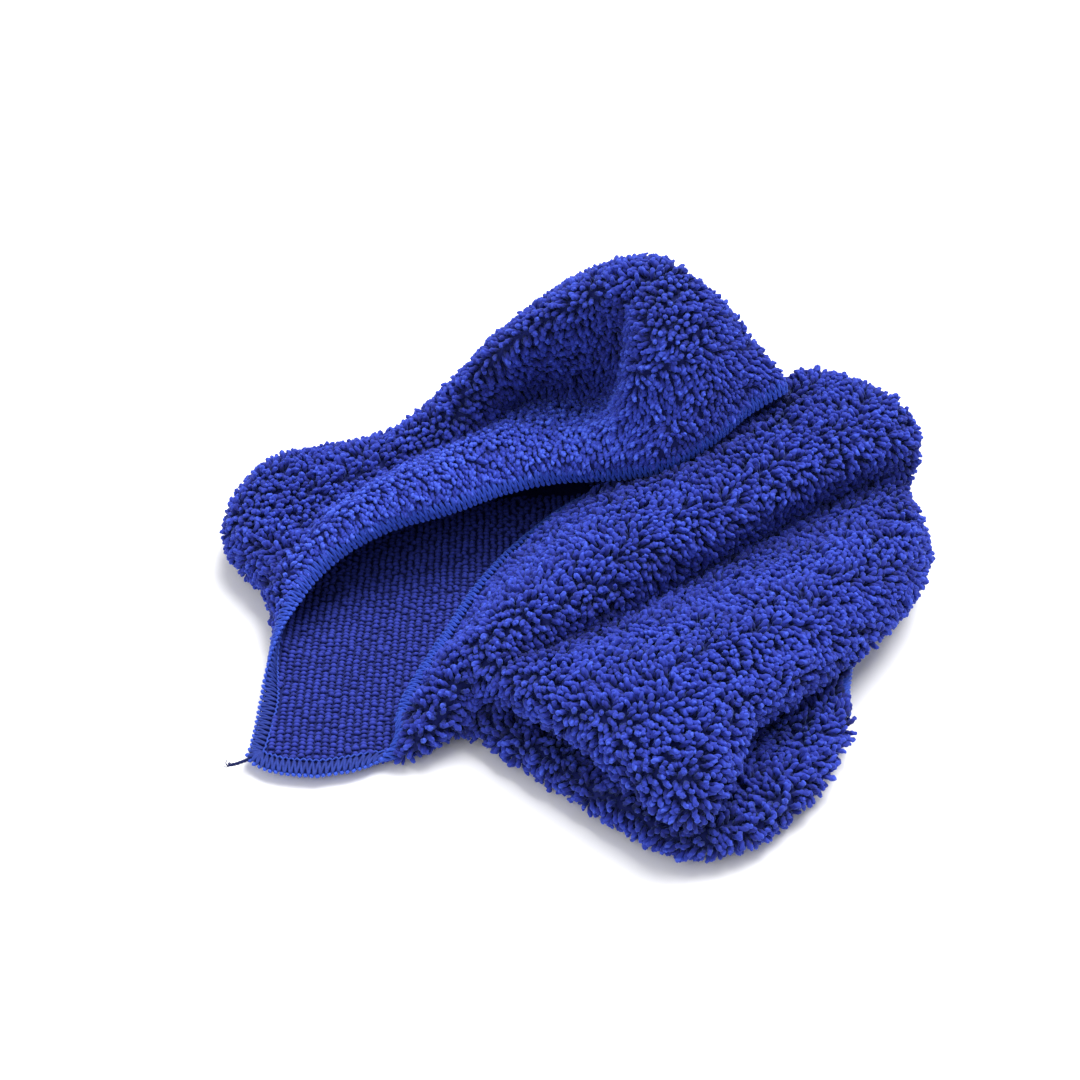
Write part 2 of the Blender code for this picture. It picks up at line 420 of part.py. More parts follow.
def part_layers(p, nor, half, layers, cells, rounds=24):
    """Thin the layers wherever two sheets of the towel would still pass through each
    other.  layers holds [side, foot, top, triangles]; top is changed in place."""
    base = half[..., None]
    for turn in range(rounds):
        sheets = [(p + nor * base, None), (p - nor * base, None)]
        tris = [cells, cells]
        for side, foot, top, tri in layers:
            sheets.append((p + side * nor * (top + 0.12), top))
            tris.append(tri)
        trees = [BVHTree.FromPolygons([tuple(v) for v in q.reshape(-1, 3)],
                                      [tuple(int(x) for x in t) for t in tri])
                 for (q, _), tri in zip(sheets, tris)]
        hits = 0
        for a in range(len(trees)):
            for b in range(max(a, 2), len(trees)):
                for x, y in trees[a].overlap(trees[b]):
                    ta, tb = tris[a][x], tris[b][y]
                    if a == b and set(ta) & set(tb):
                        continue
                    for k, t in ((a, ta), (b, tb)):
                        if k >= 2:
                            foot, top = layers[k - 2][1], layers[k - 2][2]
                            ft, tt = foot.reshape(-1), top.reshape(-1)
                            tt[t] = np.maximum(ft[t] + 0.12, ft[t] + 0.75 * (tt[t] - ft[t]))
                            if turn > rounds // 2:
                                ft[t] = np.maximum(half.reshape(-1)[t] + 0.06, 0.9 * ft[t])
                                tt[t] = np.maximum(ft[t] + 0.1, 0.95 * tt[t])
                    hits += 1
        if not hits:
            break


def ease(t, p, slope=0.45):
    """Lower t where a neighbour is much thinner, so that a layer tapers."""
    t = t.copy()
    for _ in range(8):
        for ax in (0, 1):
            a = t if ax == 0 else t.T
            q = p if ax == 0 else p.transpose(1, 0, 2)
            d = slope * np.linalg.norm(q[1:] - q[:-1], axis=-1)
            a[1:] = np.minimum(a[1:], a[:-1] + d)
            a[:-1] = np.minimum(a[:-1], a[1:] + d)
    return t


# ---- bodies -----------------------------------------------------------------------
def link(obj, col, mat):
    obj.data.materials.append(mat)
    col.objects.link(obj)
    return obj


def mesh_object(name, verts, faces, col, mat):
    me = bpy.data.meshes.new(name)
    me.from_pydata([tuple(v * MM) for v in verts], [], faces)
    me.update()
    for poly in me.polygons:
        poly.use_smooth = True
    return link(bpy.data.objects.new(name, me), col, mat)


def ring(m, n, k):
    """Points of the k-th line inside the border, once round."""
    a, b = m - 1 - k, n - 1 - k
    return ([(k, j) for j in range(k, b)] + [(i, b) for i in range(k, a)]
            + [(a, j) for j in range(b, k, -1)] + [(i, k) for i in range(a, k, -1)])


def slab(name, outer, inner, tri, col, mat):
    """Closed layer between an outer and an inner sheet of one grid; outer lies on the
    pile side of inner.  tri names the grid points of the cells it covers."""
    used, faces = np.unique(tri, return_inverse=True)
    faces = faces.reshape(-1, 3)
    k = len(used)
    verts = np.concatenate([outer.reshape(-1, 3)[used], inner.reshape(-1, 3)[used]])
    out = [tuple(int(v) for v in t) for t in faces]
    out += [tuple(int(v) + k for v in t[::-1]) for t in faces]
    edges = {(int(t[x]), int(t[(x + 1) % 3])) for t in faces for x in range(3)}
    for a, b in sorted(edges):
        if (b, a) not in edges:
            out += [(b, a, a + k), (b, a + k, b + k)]
    return mesh_object(name, verts, out, col, mat)


def cord(name, pts, radii, cyclic, col, mat, sides=4):
    """Round thread through pts."""
    cu = bpy.data.curves.new(name + '_path', 'CURVE')
    cu.dimensions = '3D'
    cu.bevel_depth = MM
    cu.bevel_resolution = sides // 2 - 2
    cu.use_fill_caps = not cyclic
    sp = cu.splines.new('POLY')
    sp.points.add(len(pts) - 1)
    for q, (p, r) in enumerate(zip(pts, radii)):
        sp.points[q].co = (*(np.asarray(p) * MM), 1.0)
        sp.points[q].radius = float(r)
    sp.use_cyclic_u = cyclic
    tmp = bpy.data.objects.new(name + '_tmp', cu)
    bpy.context.scene.collection.objects.link(tmp)
    dg = bpy.context.evaluated_depsgraph_get()
    dg.update()
    me = bpy.data.meshes.new_from_object(tmp.evaluated_get(dg))
    me.name = name
    bpy.data.objects.remove(tmp)
    bpy.data.curves.remove(cu)
    bm = bmesh.new()
    bm.from_mesh(me)
    bmesh.ops.remove_doubles(bm, verts=bm.verts, dist=1e-6)
    bmesh.ops.recalc_face_normals(bm, faces=bm.faces)
    bm.to_mesh(me)
    bm.free()
    me.materials.clear()
    for poly in me.polygons:
        poly.use_smooth = True
    return link(bpy.data.objects.new(name, me), col, mat)


def fabric(name, rgb, rough):
    mat = bpy.data.materials.new(name)
    mat.use_nodes = True
    bsdf = next(n for n in mat.node_tree.nodes if n.type == 'BSDF_PRINCIPLED')
    bsdf.inputs['Base Color'].default_value = (*rgb, 1.0)
    bsdf.inputs['Roughness'].default_value = rough
    bsdf.inputs['Metallic'].default_value = 0.0
    mat.diffuse_color = (*rgb, 1.0)
    return mat


def build():
    for obj in list(bpy.data.objects):
        bpy.data.objects.remove(obj, do_unlink=True)
    col = bpy.data.collections.new('polishing_towel')
    bpy.context.scene.collection.children.link(col)

    surf = fine_surface()
    cloud = surf[::2, ::2].reshape(-1, 3)
    p = relax(cloth_grid(surf, HEM_WIDTH), 12)
    tri = triangles(p)
    nor = vertex_normals(p, tri)
    m, n, _ = p.shape
    r_pile = free_radius(p, nor, cloud)
    r_rib = free_radius(p, -nor, cloud)
    half = np.minimum(GROUND_HALF, 0.5 * np.minimum(r_pile, r_rib))

    def stand(r, side, length):
        """Foot and top of a layer that may reach r at most."""
        foot = np.minimum(GAP_BASE, 0.6 * np.maximum(r - CLEAR, 0.3))
        foot = np.maximum(foot, half + 0.12)
        top = np.minimum(GAP_BASE + length, np.maximum(r - CLEAR, foot + 0.15))
        top = np.maximum(ease(top, p), foot + 0.15)
        foot = hold(p, side * nor, tri, foot, half + 0.1)
        top = np.maximum(hold(p, side * nor, tri, top, foot + 0.12), foot + 0.12)
        return np.ascontiguousarray(foot[..., None]), np.ascontiguousarray(top[..., None])

    # the loop layers leave the hem free, the looper threads cover its outer part
    depth = np.minimum.reduce(np.broadcast_arrays(
        np.arange(m)[:, None], np.arange(m)[::-1, None], np.arange(n), np.arange(n)[::-1]))
    depth = depth.reshape(-1)[tri]
    inner, outer = tri[depth.min(1) >= 2], tri[depth.max(1) <= 1]

    pf, pt = stand(r_pile, 1, PILE_LENGTH)
    rf, rt = stand(r_rib, -1, RIB_LENGTH)
    pbf, pb = stand(r_pile, 1, PILE_BAND)
    rbf, rb = stand(r_rib, -1, RIB_BAND)
    part_layers(p, nor, half, [[1, pf, pt, inner], [-1, rf, rt, inner],
                               [1, pbf, pb, outer], [-1, rbf, rb, outer]], tri)

    # knitted ground cloth, the whole square
    slab('ground_cloth', p + nor * half[..., None], p - nor * half[..., None], tri, col,
         fabric('ground_knit', (0.010, 0.030, 0.260), 0.95))

    # long pile; where it meets the table it is pressed flat onto it
    top = p + nor * pt
    press = (nor[..., 2] < -0.7) & (top[..., 2] < FLOOR_PRESS)
    top[press, 2] = 0.0
    top[..., 2] = np.maximum(top[..., 2], 0.0)
    slab('twist_pile', top, p + nor * pf, inner, col,
         fabric('pile_yarn', (0.014, 0.040, 0.420), 0.85))

    # short ribbed loop face
    slab('rib_loop_face', p - nor * rf, p - nor * rt, inner, col,
         fabric('rib_yarn', (0.011, 0.034, 0.330), 0.90))

    # overlock seam round the hem
    for name, rgb, foot, height, side in (
            ('upper_looper_thread', (0.020, 0.075, 0.620), pbf, pb, 1),
            ('lower_looper_thread', (0.018, 0.068, 0.560), rbf, rb, -1)):
        low, high = p + side * nor * foot, p + side * nor * height
        low[..., 2], high[..., 2] = np.maximum(low[..., 2], 0.1), np.maximum(high[..., 2], 0.1)
        slab(name, *((high, low) if side > 0 else (low, high)), outer, col,
             fabric(name, rgb, 0.7))

    # needle thread on the ribbed side, one line round the hem between the looper
    # threads and the loops; it follows the cells it lies on
    on, low = p - nor * (half[..., None] + 0.1), -nor
    a, b = ring(m, n, 1), ring(m, n, 2)
    cells = {frozenset(int(v) for v in t) for t in tri}
    pts, rad = [], []
    for k, q in enumerate(a):
        i, j = min(max(q[0], 2), m - 3), min(max(q[1], 2), n - 3)
        if (i, j) == q or abs(i - q[0]) + abs(j - q[1]) != 1:
            continue                     # a corner
        run = p[a[(k + 1) % len(a)]] - p[a[k - 1]]
        run /= np.linalg.norm(run) + 1e-9
        gap = p[i, j] - p[q]
        r = min(NEEDLE_R, max(0.06, 0.16 * np.linalg.norm(gap - (gap @ run) * run)))
        pts.append(0.5 * (on[q] + on[i, j] + r * (low[q] + low[i, j])))
        rad.append(r)
        nxt = a[(k + 1) % len(a)]
        i2, j2 = min(max(nxt[0], 2), m - 3), min(max(nxt[1], 2), n - 3)
        if (i2, j2) == (i, j):
            continue
        number = [x * n + y for x, y in (q, nxt, (i2, j2), (i, j))]
        ends = (0, 2) if frozenset((number[0], number[1], number[2])) in cells else (1, 3)
        mid = [(q, nxt, (i2, j2), (i, j))[e] for e in ends]
        pts.append(0.5 * (on[mid[0]] + on[mid[1]] + r * (low[mid[0]] + low[mid[1]])))
        rad.append(r)
    cord('needle_thread', pts, rad, True, col,
         fabric('needle_thread', (0.018, 0.062, 0.520), 0.6))

    # loose end of the seam at the near left corner
    corner = p[0, 0]
    out = corner - 0.5 * (p[0, 1] + p[1, 0])
    out[2] = 0.0
    out /= np.linalg.norm(out)
    side = np.array((-out[1], out[0], 0.0))
    tail = [corner + out * (0.9 + a) + side * b + np.array((0, 0, c))
            for a, b, c in ((0, 0, 0), (1.4, -0.5, 0.5), (2.8, -1.6, 0.8), (3.8, -3.0, 0.6),
                            (4.3, -4.6, 0.1), (4.2, -6.0, -0.6), (3.6, -7.2, -1.2))]
    cord('thread_tail', tail, [TAIL_R, TAIL_R, TAIL_R, 0.42, 0.38, 0.33, 0.2], False, col,
         fabric('thread_tail', (0.008, 0.022, 0.180), 0.8), 8)


build()
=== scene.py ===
"""Looks of the bunched-up plush towel: real twisted loops, ribs and seam threads."""
import math

import bpy
import numpy as np
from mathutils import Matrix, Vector, kdtree


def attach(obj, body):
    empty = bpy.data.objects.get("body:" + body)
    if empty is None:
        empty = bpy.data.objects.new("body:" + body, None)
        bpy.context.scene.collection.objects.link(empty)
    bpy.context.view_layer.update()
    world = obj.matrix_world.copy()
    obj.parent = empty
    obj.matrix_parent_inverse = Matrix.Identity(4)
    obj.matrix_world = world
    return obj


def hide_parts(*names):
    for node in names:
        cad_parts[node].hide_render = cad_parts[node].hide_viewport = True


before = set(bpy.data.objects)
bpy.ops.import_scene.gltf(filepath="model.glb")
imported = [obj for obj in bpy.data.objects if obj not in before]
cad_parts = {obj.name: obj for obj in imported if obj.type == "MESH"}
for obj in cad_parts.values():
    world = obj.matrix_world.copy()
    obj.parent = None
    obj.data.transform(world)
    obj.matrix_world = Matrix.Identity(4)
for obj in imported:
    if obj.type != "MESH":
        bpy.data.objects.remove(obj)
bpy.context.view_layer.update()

MM = 0.001
rng = np.random.default_rng(20260)

# ---- the crumpled cloth ------------------------------------------------------------
STATIONS = 19
FOLD_R, CREASE = 4.5, 5.0
PER = 14
# Fold lines of the towel, edge A to edge B: station -> (x, y, z) in millimetres.
FOLD_LINES = {
    # edge A: serged border of the big flap, from the near left corner round the gutter to the hump
    'A_edge': {0: (-105.5, -79, 5), 1: (-104.5, -69.5, 5), 2: (-103.5, -54, 6.5), 3: (-101.5, -33, 13), 
        4: (-96.5, -21, 20), 5: (-87, -7, 27), 6: (-73, 4, 33), 7: (-56, 13, 36), 8: (-36, 18, 39), 
        9: (-16, 27, 41), 10: (5, 32, 43), 11: (21, 31, 45), 12: (35, 29, 48), 13: (50, 28, 53), 
        14: (68, 37, 59), 15: (84, 52, 63), 16: (98, 61, 66), 17: (98, 68, 60), 18: (96, 76, 53)},
    # just inside edge A, where the border rolls over
    'A_lip': {0: (-103, -81.5, 5), 1: (-101.5, -71, 5), 2: (-101, -54, 5.5), 3: (-102, -33.5, 11), 
        4: (-98.5, -20.5, 19.5), 5: (-90, -5, 30), 6: (-77, 6, 38), 7: (-60, 15, 42), 8: (-40, 21, 45), 
        9: (-19, 31, 46), 10: (2, 35, 49), 11: (19, 32, 52), 12: (33, 31, 56), 13: (48, 29, 61), 
        14: (65, 38, 67), 15: (81, 54, 70), 16: (95, 64, 70), 17: (96, 71, 62), 18: (94, 80, 53)},
    # top of the roll behind edge A
    'A_crest': {0: (-100, -83.5, 5), 1: (-99, -72, 5), 2: (-98.5, -54.5, 5), 3: (-101.5, -34, 8.5), 
        4: (-100, -20, 17.5), 5: (-94, -3, 30), 6: (-80, 12, 40), 7: (-64, 23, 45), 8: (-45, 31, 49), 
        9: (-26, 42, 51), 10: (-5, 51, 52), 11: (15, 50, 53), 12: (33, 38, 64), 13: (50, 38, 73), 
        14: (64, 45, 79), 15: (79, 59, 79), 16: (92, 68, 72), 17: (94, 75, 63), 18: (93, 83, 52)},
    # dip between the roll and the hump
    'A_hollow': {0: (-97, -84.5, 5), 1: (-96.5, -72.5, 5), 2: (-95.5, -55, 5), 3: (-99.5, -35, 6.5), 
        4: (-101, -20, 14.5), 5: (-98, -2, 27), 6: (-91, 14, 31), 7: (-76, 31, 34), 8: (-56, 47, 38), 
        9: (-29, 57, 44), 10: (-5, 81, 46), 11: (29, 78, 50), 12: (36, 45, 80), 13: (52, 46, 88), 
        14: (65, 56, 91), 15: (81, 69, 83), 16: (89, 73, 72), 17: (91, 80, 62), 18: (91, 87, 50)},
    # front face of the hump
    'A_wall': {0: (-94, -85.5, 5), 1: (-94, -73, 5), 2: (-93, -55, 5), 3: (-97, -36, 5.5), 4: (-101, -20, 11.5), 
        5: (-101, -1, 22), 6: (-107, 17, 27), 7: (-93, 39, 34), 8: (-58, 52, 40), 9: (-36, 62, 48), 
        10: (-4, 75, 70), 11: (32, 76, 80), 12: (41, 56, 102), 13: (56, 58, 102), 14: (70, 68, 96), 
        15: (80, 75, 82), 16: (85, 80, 71), 17: (88, 86, 60), 18: (89, 91, 47)},
    # summit line of the left lobe and of the hump
    'A_top': {0: (-91, -86, 5), 1: (-91, -73, 5), 2: (-90, -55, 5), 3: (-91, -38, 5), 4: (-99.5, -19.5, 8.5), 
        5: (-107, 2, 16), 6: (-123, 31, 23), 7: (-108, 52, 33), 8: (-63, 62, 38), 9: (-41, 68, 50), 
        10: (-13, 72, 80), 11: (20, 77, 102), 12: (47, 81, 110), 13: (62, 75, 104), 14: (70, 78, 94), 
        15: (76, 83, 80), 16: (80, 88, 68), 17: (83, 92, 57), 18: (85, 95, 43)},
    # back of the lobe and of the hump
    'A_back': {0: (-87.5, -86.5, 5), 1: (-88, -73, 5), 2: (-87, -55, 5), 3: (-87, -38, 5), 4: (-96, -19, 6), 
        5: (-106, 3, 10), 6: (-126, 30, 11), 7: (-112, 70, 14), 8: (-68, 80, 18), 9: (-42, 90, 34), 
        10: (-14, 98, 62), 11: (12, 108, 78), 12: (34, 112, 84), 13: (42, 110, 80), 14: (49, 107, 74), 
        15: (55, 106, 66), 16: (61, 104, 56), 17: (69, 102, 44), 18: (77, 100, 30)},
    # where the back comes down to the table
    'A_foot': {0: (-84.5, -86.5, 5), 1: (-84.5, -73, 5), 2: (-83, -55, 5), 3: (-82, -38, 5), 4: (-91, -19, 5), 
        5: (-99, 4, 5.5), 6: (-118, 24, 5), 7: (-98, 76, 5), 8: (-62, 92, 5), 9: (-36, 104, 5), 10: (-8, 118, 5), 
        11: (14, 124, 5), 12: (30, 126, 5), 13: (37, 126, 5), 14: (44, 124, 5), 15: (51, 122, 5), 
        16: (58, 119, 5), 17: (66, 115, 5), 18: (74, 110, 5)},
    # lying sheet, left part
    'F_left': {0: (-81, -87, 5), 1: (-80.5, -73, 5), 2: (-78, -55, 5), 3: (-72, -37, 5), 4: (-79, -19, 5), 
        5: (-80, 1, 5), 6: (-85, 19, 5), 7: (-60, 52, 5), 8: (-38, 64, 5), 9: (-18, 74, 5), 10: (2, 82, 5), 
        12: (32, 90, 5), 14: (56, 88, 5), 16: (74, 86, 5), 18: (86, 84, 5)},
    # lying sheet, middle
    'F_mid': {0: (-75, -86, 5), 1: (-73, -73, 5), 2: (-68, -55, 5), 3: (-61.5, -35.5, 5), 4: (-59, -14, 5), 
        5: (-53, 4, 6), 6: (-45, 20, 7), 7: (-35, 34, 8), 8: (-24, 47, 9), 9: (8, 52, 9), 10: (22, 58, 9), 
        12: (50, 64, 8), 14: (74, 62, 7), 16: (94, 58, 6), 18: (108, 54, 5)},
    # lying sheet, right part
    'F_right': {0: (-66, -84, 5), 1: (-64, -73.5, 5), 2: (-59, -59.5, 5), 3: (-49.5, -43, 5), 4: (-39, -25, 6), 
        5: (-29, -8, 6), 6: (-19, 8, 6), 7: (-9, 21, 7), 8: (12, 12, 7), 10: (38, 16, 7), 12: (66, 18, 7), 
        14: (92, 17, 7), 16: (110, 14, 6), 18: (124, 12, 5)},
    # lying sheet, front part
    'F_front': {0: (-57, -80, 5.5), 1: (-50, -76, 5), 2: (-44, -70, 5), 3: (-38, -64, 5), 4: (-31, -58, 5), 
        5: (-17, -68, 5), 6: (-1, -81, 5), 7: (20, -97, 5), 8: (45, -114, 5), 9: (64, -112, 5), 
        10: (80, -100, 5), 11: (93, -84, 5), 12: (101, -76, 5), 13: (102.5, -72.5, 5), 14: (103.5, -69, 5), 
        15: (105, -66, 5), 16: (106.5, -63, 5), 17: (108.5, -60, 5), 18: (111, -57, 5.5)},
    # nose of the lower front fold
    'L_bulge': {1: (-45.5, -77, 6), 2: (-39, -72, 7), 3: (-32.5, -66.5, 7.5), 4: (-24, -67, 8), 5: (-12, -77, 8), 
        6: (4, -90, 8), 7: (25, -107, 8), 8: (51, -123, 8), 9: (70, -120, 8), 10: (87, -107, 8), 
        11: (101, -91, 8), 12: (106, -80, 9), 13: (108.5, -76, 9), 14: (110.5, -72.5, 9), 15: (111.5, -69.5, 9), 
        16: (112.5, -66.5, 9), 17: (113, -63, 9), 18: (114, -59.5, 9)},
    # top side of the lower front fold
    'L_top': {1: (-42.5, -76.5, 8), 2: (-36, -71.5, 10), 3: (-29, -66.5, 11), 4: (-20, -67, 12), 
        5: (-9, -77, 13), 6: (7, -89, 13), 7: (29, -106, 13), 8: (52, -122, 13), 9: (69, -112, 13), 
        10: (83, -99, 13), 11: (95, -86, 13), 12: (102, -76.5, 13), 13: (103, -72.5, 13), 14: (104.5, -68.5, 13), 
        15: (106.5, -64.5, 13), 16: (108.5, -60.5, 13), 17: (111, -56.5, 13), 18: (114.5, -52.5, 12.5)},
    # upper layer going back in under the upper fold
    'L_under': {1: (-40.5, -75.5, 10.5), 2: (-33.5, -70.5, 12.5), 3: (-26.5, -66, 14), 4: (-18, -66.5, 14.5), 
        5: (-3, -66, 13), 6: (15, -78, 13), 7: (36, -96, 13), 8: (52, -110, 13), 9: (68, -96, 13), 
        10: (80, -80, 13), 11: (90, -67, 13), 12: (100, -56, 13), 13: (105, -46, 12.5), 14: (110, -37, 12.5), 
        15: (115, -28, 12), 16: (119, -19, 11.5), 17: (124, -10, 10), 18: (127, -8, 9.5)},
    # deep inner crease between the lower and the upper front fold
    'L_recess': {1: (-39.5, -74.5, 12.5), 2: (-32.5, -69.5, 15.5), 3: (-25, -65, 17), 4: (-20, -65, 17), 
        5: (2, -56, 17.5), 6: (20, -66, 17.5), 7: (41, -80, 17.5), 8: (54.5, -92, 17.5), 9: (67, -82, 17.5), 
        10: (78, -66, 17.5), 11: (90, -50, 17.5), 12: (103, -36, 17), 13: (108, -27, 16.5), 14: (114, -18, 16), 
        15: (120, -9, 15.5), 16: (126, -1, 14.5), 17: (131, 5, 12.5), 18: (136, 10, 10)},
    # underside of the upper front fold
    'U_under': {1: (-38.5, -73, 15), 2: (-31.5, -68, 18), 3: (-24.5, -64, 20), 4: (-17, -65, 20), 
        5: (3, -68, 22), 6: (20, -80, 22), 7: (38, -96, 22), 8: (53, -108, 21.5), 9: (66, -96, 22), 
        10: (76, -77, 22.5), 11: (89, -61, 22), 12: (104, -46, 21), 13: (111, -36, 20), 14: (120, -26, 19), 
        15: (129, -15, 18), 16: (136, -5, 17), 17: (139, 7, 13.5), 18: (141, 17, 10)},
    # nose of the upper front fold
    'U_lip': {1: (-38.5, -71.5, 17), 2: (-31.5, -66.5, 21), 3: (-24, -62.5, 23), 4: (-13.5, -66.5, 24), 
        5: (4, -79, 25), 6: (20, -93, 25), 7: (35, -110, 23), 8: (51, -122, 22), 9: (63, -107, 25), 
        10: (72, -84, 27), 11: (86, -71, 26), 12: (100, -59, 24), 13: (114, -45, 22), 14: (126, -32, 21), 
        15: (137, -18, 20), 16: (146, -3, 18), 17: (150, 12, 15), 18: (144, 26, 11)},
    # front face of the upper front fold
    'U_face': {1: (-38.5, -70, 18.5), 2: (-31.5, -64.5, 23), 3: (-24.5, -60.5, 26.5), 4: (-13, -66, 28.5), 
        5: (2, -79, 34), 6: (17, -90, 35), 7: (33, -103, 35), 8: (51, -110, 35), 9: (63, -98, 37), 
        10: (75, -81, 38), 11: (89, -69, 37), 12: (103, -54, 34), 13: (117, -39, 32), 14: (130, -24, 30), 
        15: (141, -10, 28), 16: (148, 4, 26), 17: (152, 20, 20), 18: (147, 34, 12)},
    # crest of the front ridge
    'U_crest': {1: (-39, -68, 19.5), 2: (-32, -62.5, 24.5), 3: (-25.5, -58, 29), 4: (-14, -63, 32), 
        5: (1, -71, 37), 6: (16, -72, 40), 7: (32, -71, 43), 8: (48, -67, 45), 9: (63, -60, 46), 
        10: (76, -52, 46), 11: (90, -41, 45), 12: (103, -30, 43), 13: (116, -17, 41), 14: (128, -5, 39), 
        15: (138, 6, 37), 16: (145, 15, 35), 17: (149, 29, 26), 18: (148, 40, 13)},
    # valley between the front ridge and the back ridge
    'V_valley': {1: (-39.5, -66.5, 20.5), 2: (-33, -60.5, 25.5), 3: (-27, -55, 30), 4: (-16, -58, 33.5), 
        5: (-3, -55, 33), 6: (10, -47, 32), 7: (24, -38, 31), 8: (38, -26, 30), 9: (53, -14, 29), 
        10: (67, -3, 29), 11: (82, 9, 29), 12: (96, 21, 29), 13: (111, 30, 30), 14: (124, 39, 31), 
        15: (136, 45, 32), 16: (143, 44, 33), 17: (147, 43, 27), 18: (148, 49, 13)},
    # front face of the back ridge
    'R_face': {1: (-40.5, -64.5, 20.5), 2: (-34.5, -58, 25.5), 3: (-29, -52, 30), 4: (-17.5, -55, 35), 
        5: (-4, -49, 39), 6: (9, -41, 42), 7: (24, -31, 44), 8: (39, -21, 46), 9: (54, -11, 47), 
        10: (69, -1, 48), 11: (83, 10, 49), 12: (98, 20, 50), 13: (113, 30, 51), 14: (128, 39, 51), 
        15: (143, 45, 50), 16: (149, 47, 44), 17: (149, 52, 32), 18: (147, 56, 13)},
    # crest of the back ridge
    'R_crest': {1: (-41.5, -63, 20), 2: (-36, -56, 25), 3: (-31.5, -49, 29), 4: (-20, -50, 36.5), 
        5: (-7, -38, 41), 6: (6, -24, 45), 7: (20, -12, 48), 8: (35, 1, 50), 9: (49, 13, 52), 10: (64, 23, 54), 
        11: (79, 33, 55), 12: (93, 40, 56), 13: (108, 48, 57), 14: (122, 55, 57), 15: (138, 57, 55), 
        16: (150, 54, 48), 17: (149, 59, 34), 18: (145, 63, 13)},
    # slope of the back ridge towards the gutter
    'R_slope': {1: (-42.5, -62, 17.5), 2: (-38, -54.5, 20.5), 3: (-34, -47, 22.5), 4: (-25, -37, 25), 
        5: (-15.5, -19, 27), 6: (-3, -6, 32), 7: (12, 3, 39), 8: (25, 16, 42), 9: (40, 26, 46), 10: (56, 38, 49), 
        11: (72, 50, 51), 12: (90, 60, 53), 13: (108, 81, 57), 14: (126, 76, 57), 15: (141, 70, 54), 
        16: (149, 63, 48), 17: (147, 67, 32), 18: (141, 71, 13)},
    # foot of that slope
    'R_back': {1: (-45.5, -60, 13.5), 2: (-42, -51.5, 14), 3: (-38, -43, 14.5), 4: (-31, -28, 14.5), 
        5: (-22.5, -7.5, 15.5), 6: (-11, 10, 19), 7: (3, 23, 24), 8: (18, 31, 31), 9: (37, 38, 39), 
        10: (53, 51, 42), 11: (70, 63, 45), 12: (91, 73, 47), 13: (109, 87, 46), 14: (121, 87, 42), 
        15: (132, 83, 38), 16: (140, 79, 33), 17: (141, 76, 25), 18: (137, 78, 12)},
    # edge B: serged border along the right side of the gutter
    'B_edge': {0: (-52, -65.5, 11), 1: (-50.5, -57, 11), 2: (-47.5, -48, 11), 3: (-43.5, -38.5, 11.5), 
        4: (-36, -21.5, 11.5), 5: (-27.5, -1.5, 12), 6: (-15.5, 17, 14.5), 7: (-1, 32, 18), 8: (11, 40, 22), 
        9: (35, 48, 30), 10: (52, 62, 34), 11: (71, 72, 37), 12: (94, 82, 38), 13: (109, 92, 32), 
        14: (119, 94, 25), 15: (127, 92, 19), 16: (133, 89, 15), 17: (134, 87, 13), 18: (131, 85, 12)},
}
LINE = {name: k for k, name in enumerate(FOLD_LINES)}
SMAX, CMAX = float(STATIONS - 1), float(len(LINE) - 1)


def fold_line(keys):
    ks = sorted(keys)
    x = np.array(ks, float)
    p = np.array([keys[k] for k in ks], float)
    m = np.zeros_like(p)
    m[0] = (p[1] - p[0]) / (x[1] - x[0])
    m[-1] = (p[-1] - p[-2]) / (x[-1] - x[-2])
    for k in range(1, len(ks) - 1):
        h0, h1 = x[k] - x[k - 1], x[k + 1] - x[k]
        m[k] = ((p[k] - p[k - 1]) / h0 * h1 + (p[k + 1] - p[k]) / h1 * h0) / (h0 + h1)
    out = np.zeros((STATIONS, 3))
    for s in range(STATIONS):
        k = min(max(int(np.searchsorted(x, s, side='right')) - 1, 0), len(ks) - 2)
        h = x[k + 1] - x[k]
        t = (s - x[k]) / h
        out[s] = ((2 * t**3 - 3 * t * t + 1) * p[k] + (t**3 - 2 * t * t + t) * h * m[k]
                  + (3 * t * t - 2 * t**3) * p[k + 1] + (t**3 - t * t) * h * m[k + 1])
    return out


def heading(v):
    return v[:2] / max(1e-6, math.hypot(v[0], v[1]))


def control_points():
    g = np.stack([fold_line(keys) for keys in FOLD_LINES.values()], 1)
    a = LINE['F_front']
    p0, p1, p2 = g[0, a].copy(), np.array((-50.0, -77.0, 11.0)), g[0, -1].copy()
    for k in range(a, len(LINE)):
        t = (k - a) / (len(LINE) - 1 - a)
        g[0, k] = (1 - t)**2 * p0 + 2 * t * (1 - t) * p1 + t * t * p2
    for s in range(5, STATIONS):
        if s <= 11:
            b = g[s, LINE['L_bulge']]
            d = heading(g[s, LINE['F_front']] - b)
            b[2] = 2 * FOLD_R
            for name, z in (('F_front', 5.0), ('L_top', 13.0)):
                g[s, LINE[name], :2] = b[:2] + FOLD_R * d
                g[s, LINE[name], 2] = z
        if s <= 15:
            r = g[s, LINE['L_recess']]
            up = heading(g[s, LINE['U_under']] - r)
            down = heading(g[s, LINE['L_top']] - r)
            g[s, LINE['L_under'], :2] = r[:2] + CREASE * down
            g[s, LINE['U_under'], :2] = r[:2] + CREASE * up
    return g


